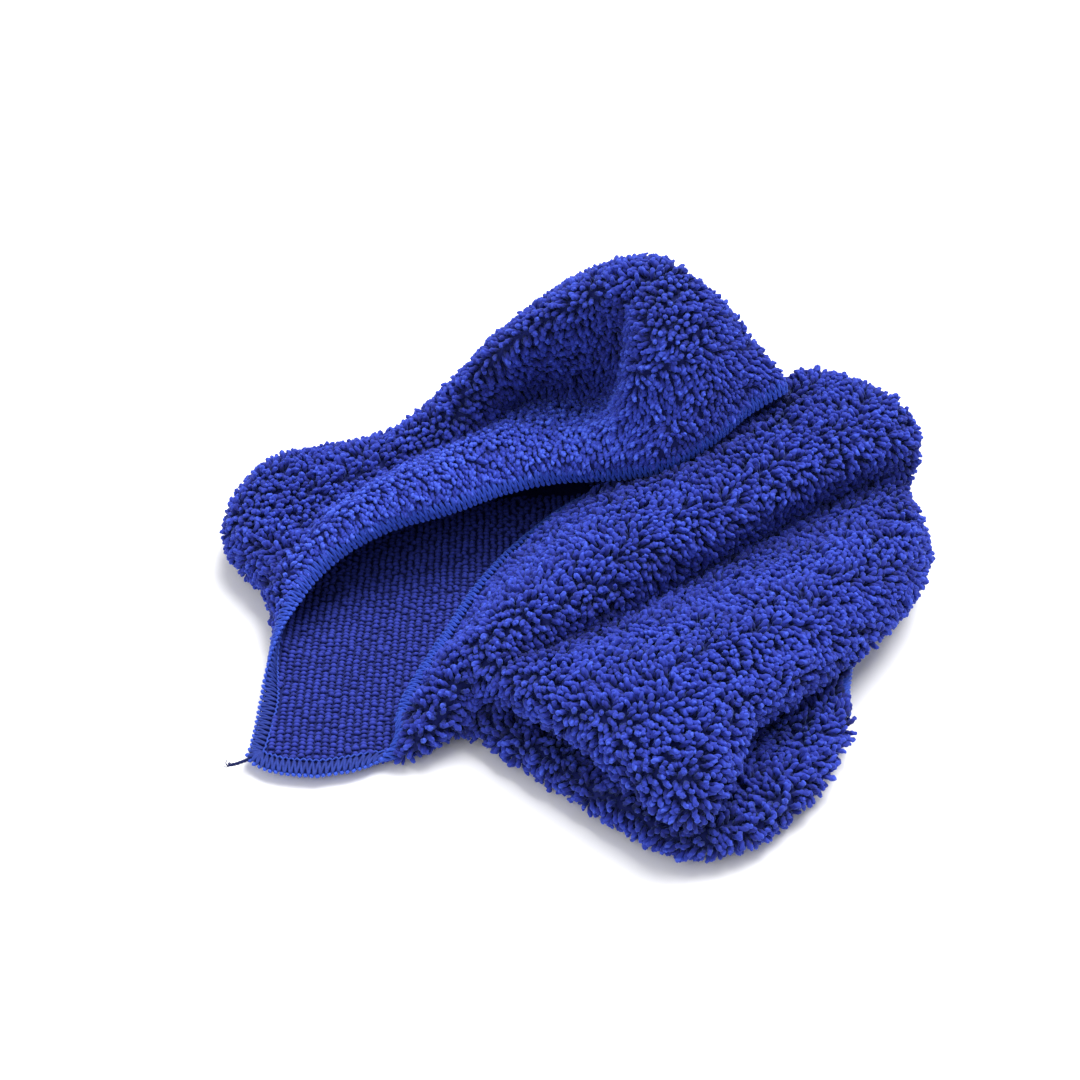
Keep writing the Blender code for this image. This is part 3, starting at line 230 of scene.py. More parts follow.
def spline(p, per):
    n = len(p)
    p = np.concatenate([2 * p[:1] - p[1:2], p, 2 * p[-1:] - p[-2:-1]], 0)
    d = np.sqrt(np.maximum(np.linalg.norm(p[1:] - p[:-1], axis=-1, keepdims=True), 1e-3))
    out = []
    for k in range(n - 1):
        p0, p1, p2, p3 = p[k:k + 4]
        a, b, c = d[k], d[k + 1], d[k + 2]
        m1 = b * ((p1 - p0) / a - (p2 - p0) / (a + b) + (p2 - p1) / b)
        m2 = b * ((p2 - p1) / b - (p3 - p1) / (b + c) + (p3 - p2) / c)
        for q in range(per + (k == n - 2)):
            t = q / per
            out.append((2 * t**3 - 3 * t * t + 1) * p1 + (t**3 - 2 * t * t + t) * m1
                       + (3 * t * t - 2 * t**3) * p2 + (t**3 - t * t) * m2)
    return np.stack(out, 0)


def unit(v):
    return v / (np.linalg.norm(v, axis=-1, keepdims=True) + 1e-12)


SURF = spline(control_points(), PER)
SURF = spline(SURF.transpose(1, 0, 2), PER).transpose(1, 0, 2)
for _ in range(3):                                  # take the last kinks out
    q = SURF.copy()
    q[1:-1] = 0.5 * SURF[1:-1] + 0.25 * (SURF[:-2] + SURF[2:])
    r = q.copy()
    r[:, 1:-1] = 0.5 * q[:, 1:-1] + 0.25 * (q[:, :-2] + q[:, 2:])
    SURF = r
DU, DV = np.gradient(SURF, axis=0), np.gradient(SURF, axis=1)
NORM = unit(np.cross(DU, DV))                       # towards the pile side


def take(grid, s, c):
    i, j = np.clip(s, 0, SMAX) * PER, np.clip(c, 0, CMAX) * PER
    i0 = np.clip(np.floor(i).astype(int), 0, grid.shape[0] - 2)
    j0 = np.clip(np.floor(j).astype(int), 0, grid.shape[1] - 2)
    fi, fj = i - i0, j - j0
    if grid.ndim == 3:
        fi, fj = fi[..., None], fj[..., None]
    return ((grid[i0, j0] * (1 - fi) + grid[i0 + 1, j0] * fi) * (1 - fj)
            + (grid[i0, j0 + 1] * (1 - fi) + grid[i0 + 1, j0 + 1] * fi) * fj)


def free_radius(step, side, cap=30.0):
    """Ball radius free on one side, on every step-th point, spread back over SURF."""
    p, n = SURF[::step, ::step], side * NORM[::step, ::step]
    cloud = SURF[::step, ::step].reshape(-1, 3).astype(np.float32)
    f, fn = p.reshape(-1, 3).astype(np.float32), n.reshape(-1, 3).astype(np.float32)
    out = np.full(len(f), cap)
    sq = (cloud * cloud).sum(1)
    for k in range(0, len(f), 500):
        a, b = f[k:k + 500], fn[k:k + 500]
        h = b @ cloud.T - (a * b).sum(1)[:, None]
        d2 = sq[None] + (a * a).sum(1)[:, None] - 2 * a @ cloud.T
        v = np.where((h > 0.06) & (d2 > 1e-3), d2 / (2 * np.maximum(h, 1e-6)), cap)
        out[k:k + 500] = np.minimum(cap, v.min(1))
    out = out.reshape(p.shape[:2])
    for _ in range(2):                              # soften jumps, never upwards
        q = np.pad(out, 1, mode='edge')
        out = np.minimum(out, (q[:-2, 1:-1] + q[2:, 1:-1] + q[1:-1, :-2] + q[1:-1, 2:]
                               + 4 * out) / 8)
    i = np.arange(SURF.shape[0]) / step
    j = np.arange(SURF.shape[1]) / step
    i0 = np.minimum(i.astype(int), out.shape[0] - 2)
    j0 = np.minimum(j.astype(int), out.shape[1] - 2)
    fi, fj = (i - i0)[:, None], (j - j0)[None]
    return ((out[i0][:, j0] * (1 - fi) + out[i0 + 1][:, j0] * fi) * (1 - fj)
            + (out[i0][:, j0 + 1] * (1 - fi) + out[i0 + 1][:, j0 + 1] * fi) * fj)


R_PILE = free_radius(4 if (SURF.shape[0] - 1) % 4 == 0 and (SURF.shape[1] - 1) % 4 == 0 else 2, 1)
R_RIB = free_radius(4 if (SURF.shape[0] - 1) % 4 == 0 and (SURF.shape[1] - 1) % 4 == 0 else 2, -1)

# distance to the nearest border, and the direction towards it
lu = np.linalg.norm(np.diff(SURF, axis=0), axis=-1)
lv = np.linalg.norm(np.diff(SURF, axis=1), axis=-1)
zero_u, zero_v = np.zeros((1, SURF.shape[1])), np.zeros((SURF.shape[0], 1))
from_s0 = np.concatenate([zero_u, np.cumsum(lu, 0)], 0)
from_s1 = np.concatenate([np.cumsum(lu[::-1], 0)[::-1], zero_u], 0)
from_a = np.concatenate([zero_v, np.cumsum(lv, 1)], 1)
from_b = np.concatenate([np.cumsum(lv[:, ::-1], 1)[:, ::-1], zero_v], 1)
EDGE = np.minimum(np.minimum(from_s0, from_s1), np.minimum(from_a, from_b))
which = np.argmin(np.stack([from_s0, from_s1, from_a, from_b]), 0)
OUT = np.choose(which[..., None], [-unit(DU), unit(DU), -unit(DV), unit(DV)])


def scatter(pitch, want, seed, most):
    """Evenly spread points over the cloth where want(s, c, p) holds."""
    r = np.random.default_rng(seed)
    area = np.linalg.norm(np.cross(SURF[1:, :-1] - SURF[:-1, :-1],
                                   SURF[:-1, 1:] - SURF[:-1, :-1]), axis=-1).reshape(-1)
    cdf = np.cumsum(area) / area.sum()
    tries = int(most * area.sum() / pitch**2)
    cell = np.searchsorted(cdf, r.random(tries))
    w = SURF.shape[1] - 1
    s = (cell // w + r.random(tries)) / PER
    c = (cell % w + r.random(tries)) / PER
    p = take(SURF, s, c)
    ok = want(s, c, p)
    s, c, p = s[ok], c[ok], p[ok]
    grid, keep = {}, []
    key = np.floor(p / pitch).astype(int)
    pp = p.tolist()
    near = [(a, b, d) for a in (-1, 0, 1) for b in (-1, 0, 1) for d in (-1, 0, 1)]
    lim = pitch * pitch
    for k, (kx, ky, kz) in enumerate(key.tolist()):
        x, y, z = pp[k]
        free = True
        for a, b, d in near:
            for u in grid.get((kx + a, ky + b, kz + d), ()):
                v = pp[u]
                if (v[0] - x)**2 + (v[1] - y)**2 + (v[2] - z)**2 < lim:
                    free = False
                    break
            if not free:
                break
        if free:
            grid.setdefault((kx, ky, kz), []).append(k)
            keep.append(k)
    keep = np.array(keep)
    return s[keep], c[keep]


# ---- mesh helpers ------------------------------------------------------------------
def mesh(name, verts, quads, tris, mat, uv=None, attrs=None, smooth=True):
    """verts (V,3) mm, quads (F,4), tris (T,3); uv (V,2) per vertex."""
    me = bpy.data.meshes.new(name)
    nq, nt = len(quads), len(tris)
    me.vertices.add(len(verts))
    me.vertices.foreach_set('co', (np.asarray(verts) * MM).astype(np.float32).reshape(-1))
    corner = np.concatenate([np.asarray(quads, int).reshape(-1), np.asarray(tris, int).reshape(-1)])
    me.loops.add(len(corner))
    me.loops.foreach_set('vertex_index', corner.astype(np.int32))
    me.polygons.add(nq + nt)
    start = np.concatenate([np.arange(nq) * 4, nq * 4 + np.arange(nt) * 3])
    me.polygons.foreach_set('loop_start', start.astype(np.int32))
    me.polygons.foreach_set('use_smooth', np.full(nq + nt, smooth))
    me.update(calc_edges=True)
    if uv is not None:
        layer = me.uv_layers.new(name='OFBake')
        layer.data.foreach_set('uv', np.asarray(uv, np.float32)[corner].reshape(-1))
    for key, val in (attrs or {}).items():
        at = me.attributes.new(key, 'FLOAT', 'POINT')
        at.data.foreach_set('value', np.asarray(val, np.float32))
    me.materials.append(mat)
    obj = bpy.data.objects.new(name, me)
    bpy.context.scene.collection.objects.link(obj)
    return obj


def frames(tan, ref):
    """Side vectors across a run of tangents (N, K, 3), kept from spinning."""
    a = np.cross(tan[:, 0], ref)
    a = unit(np.where(np.linalg.norm(a, axis=-1, keepdims=True) < 1e-4,
                      np.cross(tan[:, 0], ref + np.array((0.3, 0.7, 0.2))), a))
    out = [a]
    for k in range(1, tan.shape[1]):
        t = tan[:, k]
        a = unit(a - (a * t).sum(-1, keepdims=True) * t)
        out.append(a)
    a = np.stack(out, 1)
    return a, np.cross(tan, a)


def worms(path, radius, sides, lobes=0.0, spin=None, flat=1.0, ref=None, low=None):
    """Closed-tipped loops of yarn.  path (N,K,3), radius (N,K).  Returns vertices
    (N, K*sides+1, 3) and the quads and triangles of one of them."""
    n, k, _ = path.shape
    tan = unit(np.gradient(path, axis=1))
    a, b = frames(tan, ref if ref is not None else np.tile((0.0, 0.0, 1.0), (n, 1)))
    th = np.arange(sides) / sides * 2 * math.pi
    ang = th[None, None] + np.zeros((n, k, 1))
    rr = radius[..., None] * np.ones(sides)
    if lobes:
        rr = rr * (1 + lobes * np.cos(2 * (ang - spin[..., None])))
    v = (path[:, :, None] + a[:, :, None] * (rr * np.cos(ang))[..., None]
         + b[:, :, None] * (rr * np.sin(ang))[..., None] * flat)
    tip = path[:, -1] + tan[:, -1] * radius[:, -1:] * 0.45
    v = np.concatenate([v.reshape(n, k * sides, 3), tip[:, None]], 1)
    if low is not None:
        v[..., 2] = np.maximum(v[..., 2], low)
    quads = []
    for i in range(k - 1):
        for j in range(sides):
            j2 = (j + 1) % sides
            quads.append((i * sides + j, i * sides + j2, (i + 1) * sides + j2, (i + 1) * sides + j))
    tris = [((k - 1) * sides + j, (k - 1) * sides + (j + 1) % sides, k * sides)
            for j in range(sides)]
    return v, np.array(quads), np.array(tris)


def many(name, v, quads, tris, mat, attrs, along):
    """One mesh of N equal worms, every worm with its own small place in the UV map."""
    n, m, _ = v.shape
    off = (np.arange(n) * m)[:, None, None]
    cols = int(math.ceil(math.sqrt(n)))
    cx, cy = np.arange(n) % cols, np.arange(n) // cols
    u0 = (cx[:, None] + 0.15 + 0.7 * along[None, :, 0]) / cols
    v0 = (cy[:, None] + 0.15 + 0.7 * along[None, :, 1]) / cols
    uv = np.stack([u0, v0], -1).reshape(-1, 2)
    return mesh(name, v.reshape(-1, 3), (quads[None] + off).reshape(-1, 4),
                (tris[None] + off).reshape(-1, 3), mat, uv, attrs)


def tube(path, radius, sides, cyclic, name, mat, attrs=None):
    """One long round thread through path (K,3)."""
    k = len(path)
    if cyclic:
        tan = unit(np.roll(path, -1, 0) - np.roll(path, 1, 0))
    else:
        tan = unit(np.gradient(path, axis=0))
    a, b = frames(tan[None], np.array([[0.13, 0.21, 0.97]]))
    a, b = a[0], b[0]
    th = np.arange(sides) / sides * 2 * math.pi
    rr = np.broadcast_to(np.asarray(radius, float), (k,))[:, None]
    v = (path[:, None] + a[:, None] * (rr * np.cos(th))[..., None]
         + b[:, None] * (rr * np.sin(th))[..., None]).reshape(-1, 3)
    i = np.arange(k if cyclic else k - 1)[:, None]
    j = np.arange(sides)[None]
    i2, j2 = (i + 1) % k, (j + 1) % sides
    quads = np.stack([i * sides + j, i * sides + j2, i2 * sides + j2, i2 * sides + j],
                     -1).reshape(-1, 4)
    tris = np.zeros((0, 3), int)
    if not cyclic:
        v = np.concatenate([v, path[:1], path[-1:]])
        jj = np.arange(sides)
        tris = np.concatenate([
            np.stack([(jj + 1) % sides, jj, np.full(sides, k * sides)], -1),
            np.stack([(k - 1) * sides + jj, (k - 1) * sides + (jj + 1) % sides,
                      np.full(sides, k * sides + 1)], -1)])
    u = (np.arange(k) / k)[:, None] + np.zeros(sides)
    w = np.zeros((k, 1)) + (np.arange(sides) / sides)[None]
    bands = 24
    uv = np.stack([(u * bands) % 1.0, (np.floor(u * bands) + 0.1 + 0.8 * w) / bands], -1)
    uv = uv.reshape(-1, 2)
    if not cyclic:
        uv = np.concatenate([uv, uv[:1], uv[-1:]])
    at = {key: np.resize(val, len(v)) for key, val in (attrs or {}).items()}
    return mesh(name, v, quads, tris, mat, uv, at)


# ---- materials ---------------------------------------------------------------------
def yarn(name, dark, mid, light, bright=None, rough=0.85, sheen=0.35, tint=(0.25, 0.4, 1.0),
         mottled=0.18):
    """Yarn coloured along a ramp set by the 'tip' attribute: painted shade at the dark end (roots, creases,
    grooves) and painted highlight at the bright end (tips, lit sides), with a little random tone from loop to
    loop.
    """
    mat = bpy.data.materials.new(name)
    mat.use_nodes = True
    nt = mat.node_tree
    bsdf = next(n for n in nt.nodes if n.type == 'BSDF_PRINCIPLED')
    # The ramp runs from the dark colour, a painted shade, to the bright colour, a painted highlight.
    ramp = nt.nodes.new('ShaderNodeValToRGB')
    ramp.color_ramp.elements[0].position, ramp.color_ramp.elements[1].position = 0.0, 1.0
    ramp.color_ramp.elements[0].color = (*dark, 1)
    ramp.color_ramp.elements[1].color = (*(bright or [1.2 * v for v in light]), 1)
    for place, colour in ((0.34, mid), (0.75, light)):
        e = ramp.color_ramp.elements.new(place)
        e.color = (*colour, 1)
    tip = nt.nodes.new('ShaderNodeAttribute')
    tip.attribute_name = 'tip'
    tone_and_highlight = nt.nodes.new('ShaderNodeAttribute')
    tone_and_highlight.attribute_name = 'tone_and_highlight'
    noise = nt.nodes.new('ShaderNodeTexNoise')
    noise.inputs['Scale'].default_value = 900.0
    noise.inputs['Detail'].default_value = 2.0
    geo = nt.nodes.new('ShaderNodeNewGeometry')
    nt.links.new(geo.outputs['Position'], noise.inputs['Vector'])
    # Ramp place: random loop-to-loop tone with painted highlight, plus the painted shade and highlight carried
    # along each loop.
    m1 = nt.nodes.new('ShaderNodeMath')
    m1.operation = 'MULTIPLY_ADD'                   # (own - .5) * mottled + tip
    sub = nt.nodes.new('ShaderNodeMath')
    sub.operation = 'SUBTRACT'
    sub.inputs[1].default_value = 0.5
    nt.links.new(tone_and_highlight.outputs['Fac'], sub.inputs[0])
    nt.links.new(sub.outputs[0], m1.inputs[0])
    m1.inputs[1].default_value = mottled * 2
    nt.links.new(tip.outputs['Fac'], m1.inputs[2])
    m2 = nt.nodes.new('ShaderNodeMath')
    m2.operation = 'MULTIPLY_ADD'
    sub2 = nt.nodes.new('ShaderNodeMath')
    sub2.operation = 'SUBTRACT'
    sub2.inputs[1].default_value = 0.5
    nt.links.new(noise.outputs['Fac'], sub2.inputs[0])
    nt.links.new(sub2.outputs[0], m2.inputs[0])
    m2.inputs[1].default_value = 0.35
    nt.links.new(m1.outputs[0], m2.inputs[2])
    span = nt.nodes.new('ShaderNodeMath')
    span.operation = 'MULTIPLY'
    span.inputs[1].default_value = 0.75
    nt.links.new(m2.outputs[0], span.inputs[0])
    nt.links.new(span.outputs[0], ramp.inputs['Fac'])
    nt.links.new(ramp.outputs['Color'], bsdf.inputs['Base Color'])
    fibre = nt.nodes.new('ShaderNodeTexNoise')
    fibre.inputs['Scale'].default_value = 3200.0
    fibre.inputs['Detail'].default_value = 3.0
    nt.links.new(geo.outputs['Position'], fibre.inputs['Vector'])
    bump = nt.nodes.new('ShaderNodeBump')
    bump.inputs['Strength'].default_value = 0.45
    bump.inputs['Distance'].default_value = 0.0002
    nt.links.new(fibre.outputs['Fac'], bump.inputs['Height'])
    nt.links.new(bump.outputs['Normal'], bsdf.inputs['Normal'])
    bsdf.inputs['Roughness'].default_value = rough
    bsdf.inputs['Specular IOR Level'].default_value = 0.25
    bsdf.inputs['Sheen Weight'].default_value = sheen
    bsdf.inputs['Sheen Roughness'].default_value = 0.45
    bsdf.inputs['Sheen Tint'].default_value = (*tint, 1)
    return mat


# Pile and rib ramps: the first colour is painted shade between the loops, the last colour is painted highlight on
# their tips.
PILE = yarn('pile_yarn', (0.006, 0.008, 0.052), (0.012, 0.018, 0.200), (0.028, 0.050, 0.430),
            (0.060, 0.115, 0.680))
RIB = yarn('rib_yarn', (0.005, 0.006, 0.040), (0.012, 0.018, 0.170), (0.027, 0.042, 0.340), sheen=0.2)
BACK = yarn('ground_knit', (0.004, 0.008, 0.080), (0.006, 0.012, 0.130), (0.008, 0.018, 0.180), sheen=0.0)
LOOPER_UP = yarn('upper_looper', (0.007, 0.016, 0.160), (0.016, 0.048, 0.380), (0.034, 0.088, 0.580),
                 rough=0.7, sheen=0.3)
LOOPER_LOW = yarn('lower_looper', (0.006, 0.011, 0.090), (0.012, 0.027, 0.210), (0.024, 0.054, 0.350),
                  rough=0.7, sheen=0.25)
NEEDLE = yarn('needle', (0.006, 0.014, 0.130), (0.014, 0.038, 0.300), (0.028, 0.070, 0.460),
              rough=0.65, sheen=0.2)
TAIL = yarn('tail', (0.002, 0.005, 0.040), (0.004, 0.009, 0.075), (0.006, 0.015, 0.110), sheen=0.1)


# ---- ground cloth ------------------------------------------------------------------
def ground():
    p, n = SURF[::2, ::2], NORM[::2, ::2]
    half = np.minimum(0.25, 0.3 * np.minimum(R_PILE, R_RIB)[::2, ::2])[..., None]
    m, k, _ = p.shape
    v = np.concatenate([(p + n * half).reshape(-1, 3), (p - n * half).reshape(-1, 3)])
    v[:, 2] = np.maximum(v[:, 2], 0.6)
    idx = np.arange(m * k).reshape(m, k)
    q = np.stack([idx[:-1, :-1], idx[1:, :-1], idx[1:, 1:], idx[:-1, 1:]], -1).reshape(-1, 4)
    q = np.concatenate([q, q[:, ::-1] + m * k])
    loop = np.concatenate([idx[0, :-1], idx[:-1, -1], idx[-1, :0:-1], idx[:0:-1, 0]])
    nxt = np.roll(loop, -1)
    q = np.concatenate([q, np.stack([loop, nxt, nxt + m * k, loop + m * k], -1)])
    uu, vv = np.meshgrid(np.linspace(0.01, 0.49, k), np.linspace(0.01, 0.99, m))
    uv = np.stack([uu, vv], -1).reshape(-1, 2)
    uv = np.concatenate([uv, uv + (0.5, 0)])
    obj = mesh('knit_ground', v, q, np.zeros((0, 3), int), BACK, uv,
               {'tip': np.full(len(v), 0.3), 'tone_and_highlight': np.full(len(v), 0.5)})
    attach(obj, 'root')
    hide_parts('ground_cloth')


# ---- long twist pile ---------------------------------------------------------------
def wander(p, scale, seed):
    """Smooth field over space, about -1 to 1."""
    r = np.random.default_rng(seed)
    out = 0
    for _ in range(7):
        k = r.normal(size=3)
        k *= r.uniform(0.6, 1.7) / scale / np.linalg.norm(k)
        out = out + np.sin(p @ k * 2 * math.pi + r.uniform(0, 6.28))
    return out / 2.6


def pile():
    s, c = scatter(PILE_PITCH, lambda s, c, p: (take(EDGE, s, c) > 4.6)
                   & (take(from_b, s, c) > 6.2), 11, 4.2)
    p, n = take(SURF, s, c), unit(take(NORM, s, c))
    edge, out = take(EDGE, s, c), unit(take(OUT, s, c))
    free = take(R_PILE, s, c)
    num = len(s)
    r = np.random.default_rng(5)
    # lean: swirls over a few centimetres, weight of the loop, comb towards the hem
    t1 = unit(take(DU, s, c) - (take(DU, s, c) * n).sum(-1, keepdims=True) * n)
    t2 = np.cross(n, t1)
    ang = 2.2 * wander(p, 34.0, 3) + r.normal(0, 0.75, num)
    lean = t1 * np.cos(ang)[:, None] + t2 * np.sin(ang)[:, None]
    down = np.array((0, 0, -1.0)) - (-n[:, 2:3]) * n
    lean = unit(lean + 0.85 * down)
    near = np.clip((11.0 - edge) / 5.0, 0, 1)[:, None]
    far_side = (take(from_b, s, c) < edge + 0.5)[:, None]   # edge B: swept back off its hem
    lean = unit(lean * (1 - near) + np.where(far_side, -0.9, 1.6) * out * near + 0.001 * t1)
    short = np.interp(c, [2.0, 5.0], [0.80, 1.0])            # the flap's pile lies shorter
    length = (TUFT * short * (1 + 0.10 * r.normal(size=num) + 0.08 * wander(p, 22.0, 9))
              * (1 - 0.15 * near[:, 0]))
    beside_b = np.interp(take(from_b, s, c), [6.0, 15.0], [1.0, 0.0])
    lean = unit(lean * (1 - beside_b[:, None]) - 1.5 * out * (beside_b * far_side[:, 0])[:, None]
                + 0.001 * t2)
    length = length * (1 - 0.22 * beside_b)
    # the turned-back flap was stroked flat towards its hem: smoother nap, and below its tufts are made brighter
    # as a painted highlight
    flap = np.interp(c, [2.2, 4.0], [1.0, 0.0]) * np.interp(s, [2.0, 3.5, 12.0, 14.0], [0, 1, 1, 0.3])
    toward = -unit(take(DV, s, c))
    lean = unit(lean * (1 - 0.65 * flap[:, None]) + 1.2 * toward * flap[:, None] + 0.001 * t2)
    reach = np.clip(free - 0.5, 0.7, 9.0)           # height that is free above the cloth
    a0 = np.radians(np.clip(14 + 10 * r.normal(size=num), 0, 40)) + 0.30 * near[:, 0]
    a1 = np.radians(np.clip(54 + 20 * r.normal(size=num), 15, 105))
    a0 = a0 + 0.55 * beside_b + 0.55 * flap
    steps = PILE_RINGS
    q = np.array([0, 0.2, 0.4, 0.58, 0.75, 0.89, 1.0])
    mean_cos = np.cos(a0 + 0.5 * a1)
    tall = 0.5 + length * np.maximum(mean_cos, 0.25)
    squeeze = np.clip(reach / tall, 0.15, 1.0)
    a = a0[:, None] + a1[:, None] * (0.5 * (q[:-1] + q[1:]))[None]
    ds = length[:, None] * np.diff(q)[None]
    hgt = np.concatenate([np.zeros((num, 1)), np.cumsum(np.cos(a) * ds, 1)], 1) * squeeze[:, None]
    run = np.concatenate([np.zeros((num, 1)), np.cumsum(np.sin(a) * ds, 1)], 1)
    run *= (0.6 + 0.4 * squeeze)[:, None]
    side = np.cross(n, lean)
    wob = (r.normal(0, 0.20, num)[:, None]) * (q**2)[None] * length[:, None]
    path = (p[:, None] + n[:, None] * (0.15 + hgt)[..., None] + lean[:, None] * run[..., None]
            + side[:, None] * wob[..., None])
    fat = PILE_R * (0.5 + 0.5 * short) * (1 + 0.09 * r.normal(size=num)) * (0.55 + 0.45 * squeeze)
    prof = np.interp(q, [0, 0.2, 0.45, 0.7, 0.88, 1.0], [0.72, 0.86, 1.0, 1.04, 0.98, 0.62])
    spin = r.uniform(0, math.pi, num)[:, None] + (2.3 * math.pi * q)[None] * np.where(
        r.random(num) < 0.92, 1, -1)[:, None]
    # Painted shade and highlight: tufts darker at the root and deep in narrow creases, lighter towards the tip.
    crease_shade = np.interp(free, [2.0, 6.0, 14.0, 28.0], [0.25, 0.62, 0.86, 1.0])[:, None]
    painted_light = np.clip((hgt + 0.4 * run) / TUFT, 0, 1) * crease_shade
    # Painted highlight: the combed strip by edge A and the stroked flap are brightened, standing in for the sheen
    # of their flat nap; the rest is random tone from tuft to tuft.
    comb_highlight = near[:, 0] * (1 - far_side[:, 0]) * (c < 6)       # bright combed strip by edge A
    tone_and_highlight = r.random(num) + 0.4 * comb_highlight + 1.7 * flap
    hidden = ((n[:, 2] < -0.35) & (p[:, 2] < 16)) | (free < 2.2)
    # pieces: blocks of the cloth
    order = (np.minimum((s / SMAX * BLOCKS_S).astype(int), BLOCKS_S - 1) * BLOCKS_C
             + np.minimum((np.clip((c - 0) / CMAX, 0, 1) * BLOCKS_C).astype(int), BLOCKS_C - 1))
    made = []
    total = 0
    for blk in range(BLOCKS_S * BLOCKS_C):
        for low_res in (False, True):
            pick = (order == blk) & (hidden == low_res)
            if pick.sum() < 1:
                continue
            if low_res:
                sel, sides = np.array([0, steps // 3, 2 * steps // 3, steps - 1]), 5
            else:
                sel, sides = np.arange(steps), 8
            v, quads, tris = worms(path[pick][:, sel], fat[pick][:, None] * prof[sel][None], sides,
                                   0.0 if low_res else 0.24, spin[pick][:, sel], ref=side[pick],
                                   low=0.12)
            kk = len(sel)
            painted_light_v = np.repeat(painted_light[pick][:, sel], sides, 1)
            # painted shade: the groove between the two plies is darkened
            th = np.tile(np.arange(sides) / sides * 2 * math.pi, kk)[None]
            ply_groove_shade = np.cos(2 * (th - np.repeat(spin[pick][:, sel], sides, 1)))
            painted_light_v = painted_light_v + (0.0 if low_res else 0.16) * ply_groove_shade
            painted_light_v = np.concatenate([painted_light_v, painted_light[pick][:, -1:]], 1)
            ov = np.repeat(tone_and_highlight[pick][:, None], v.shape[1], 1)
            along = np.concatenate([np.stack(np.meshgrid(np.arange(sides) / sides,
                                                         q[sel]), -1).reshape(-1, 2), [[0.5, 1.0]]])
            obj = many('pile_%02d%s' % (blk, '_under' if low_res else ''), v, quads, tris, PILE,
                       {'tip': painted_light_v.reshape(-1), 'tone_and_highlight': ov.reshape(-1)}, along)
            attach(obj, 'root')
            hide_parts('twist_pile')
            made.append(obj)
            total += len(v) * (len(quads) + len(tris))
    print('tufts', num, 'hidden', int(hidden.sum()), 'faces', total, 'pieces', len(made))


# ---- ribbed loop face --------------------------------------------------------------
def rib_loops(name, s, c, across, length, thick, height, r, sides=6, rings=6, skew=0.34):
    p, n = take(SURF, s, c), -unit(take(NORM, s, c))
    across = unit(across - (across * n).sum(-1, keepdims=True) * n)
    up = np.cross(n, across)
    num = len(s)
    free = take(R_RIB, s, c)
    squeeze = np.clip((free - 0.35) / (height + thick + 0.25), 0.2, 1.0)
    tilt = r.normal(0, skew, num)
    d = across * np.cos(tilt)[:, None] + up * np.sin(tilt)[:, None]
    e = np.cross(n, d)
    q = np.linspace(-1, 1, rings)
    ln = length * (1 + 0.12 * r.normal(size=num))
    bow = r.normal(0.25, 0.18, num)
    arch = 0.25 + height * (1 - 0.85 * q**2)
    path = (p[:, None] + d[:, None] * (0.5 * ln[:, None] * q[None])[..., None]
            + n[:, None] * (arch[None] * squeeze[:, None])[..., None]
            + e[:, None] * (bow[:, None] * (1 - q**2)[None])[..., None])
    prof = np.interp(q, [-1, -0.6, 0, 0.6, 1], [0.55, 0.95, 1.05, 0.95, 0.55])
    fat = thick * (1 + 0.1 * r.normal(size=num)) * (0.5 + 0.5 * squeeze)
    v, quads, tris = worms(path, fat[:, None] * prof[None], sides, ref=n, low=0.12)
    # Painted light: each loop lighter at the top of its arch and on its outer side, painted shade low by the
    # cloth.
    painted_light_v = np.repeat(np.repeat(((arch / (height + 0.25)) * 0.75)[None], num, 0), sides, 1)
    lift = ((v[:, :-1] - np.repeat(path, sides, 1)) * n[:, None]).sum(-1) / (thick + 1e-6)
    painted_light_v = np.concatenate([painted_light_v + 0.22 * lift, np.full((num, 1), 0.3)], 1)
    ov = np.repeat(r.random(num)[:, None], v.shape[1], 1)
    along = np.concatenate([np.stack(np.meshgrid(np.arange(sides) / sides,
                                                 (q + 1) / 2), -1).reshape(-1, 2), [[0.5, 1.0]]])
    obj = many(name, v, quads, tris, RIB, {'tip': painted_light_v.reshape(-1), 'tone_and_highlight': ov.reshape(-1)}, along)
    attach(obj, 'root')
    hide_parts('rib_loop_face')
    return num


def floor_zone(s, c, p):
    """The part of the cloth that lies open in the gutter, ribbed face up."""
    return (s < 10.5) & (c < 10.98) & (p[..., 2] < 12.5) & (take(NORM, s, c)[..., 2] < -0.55)


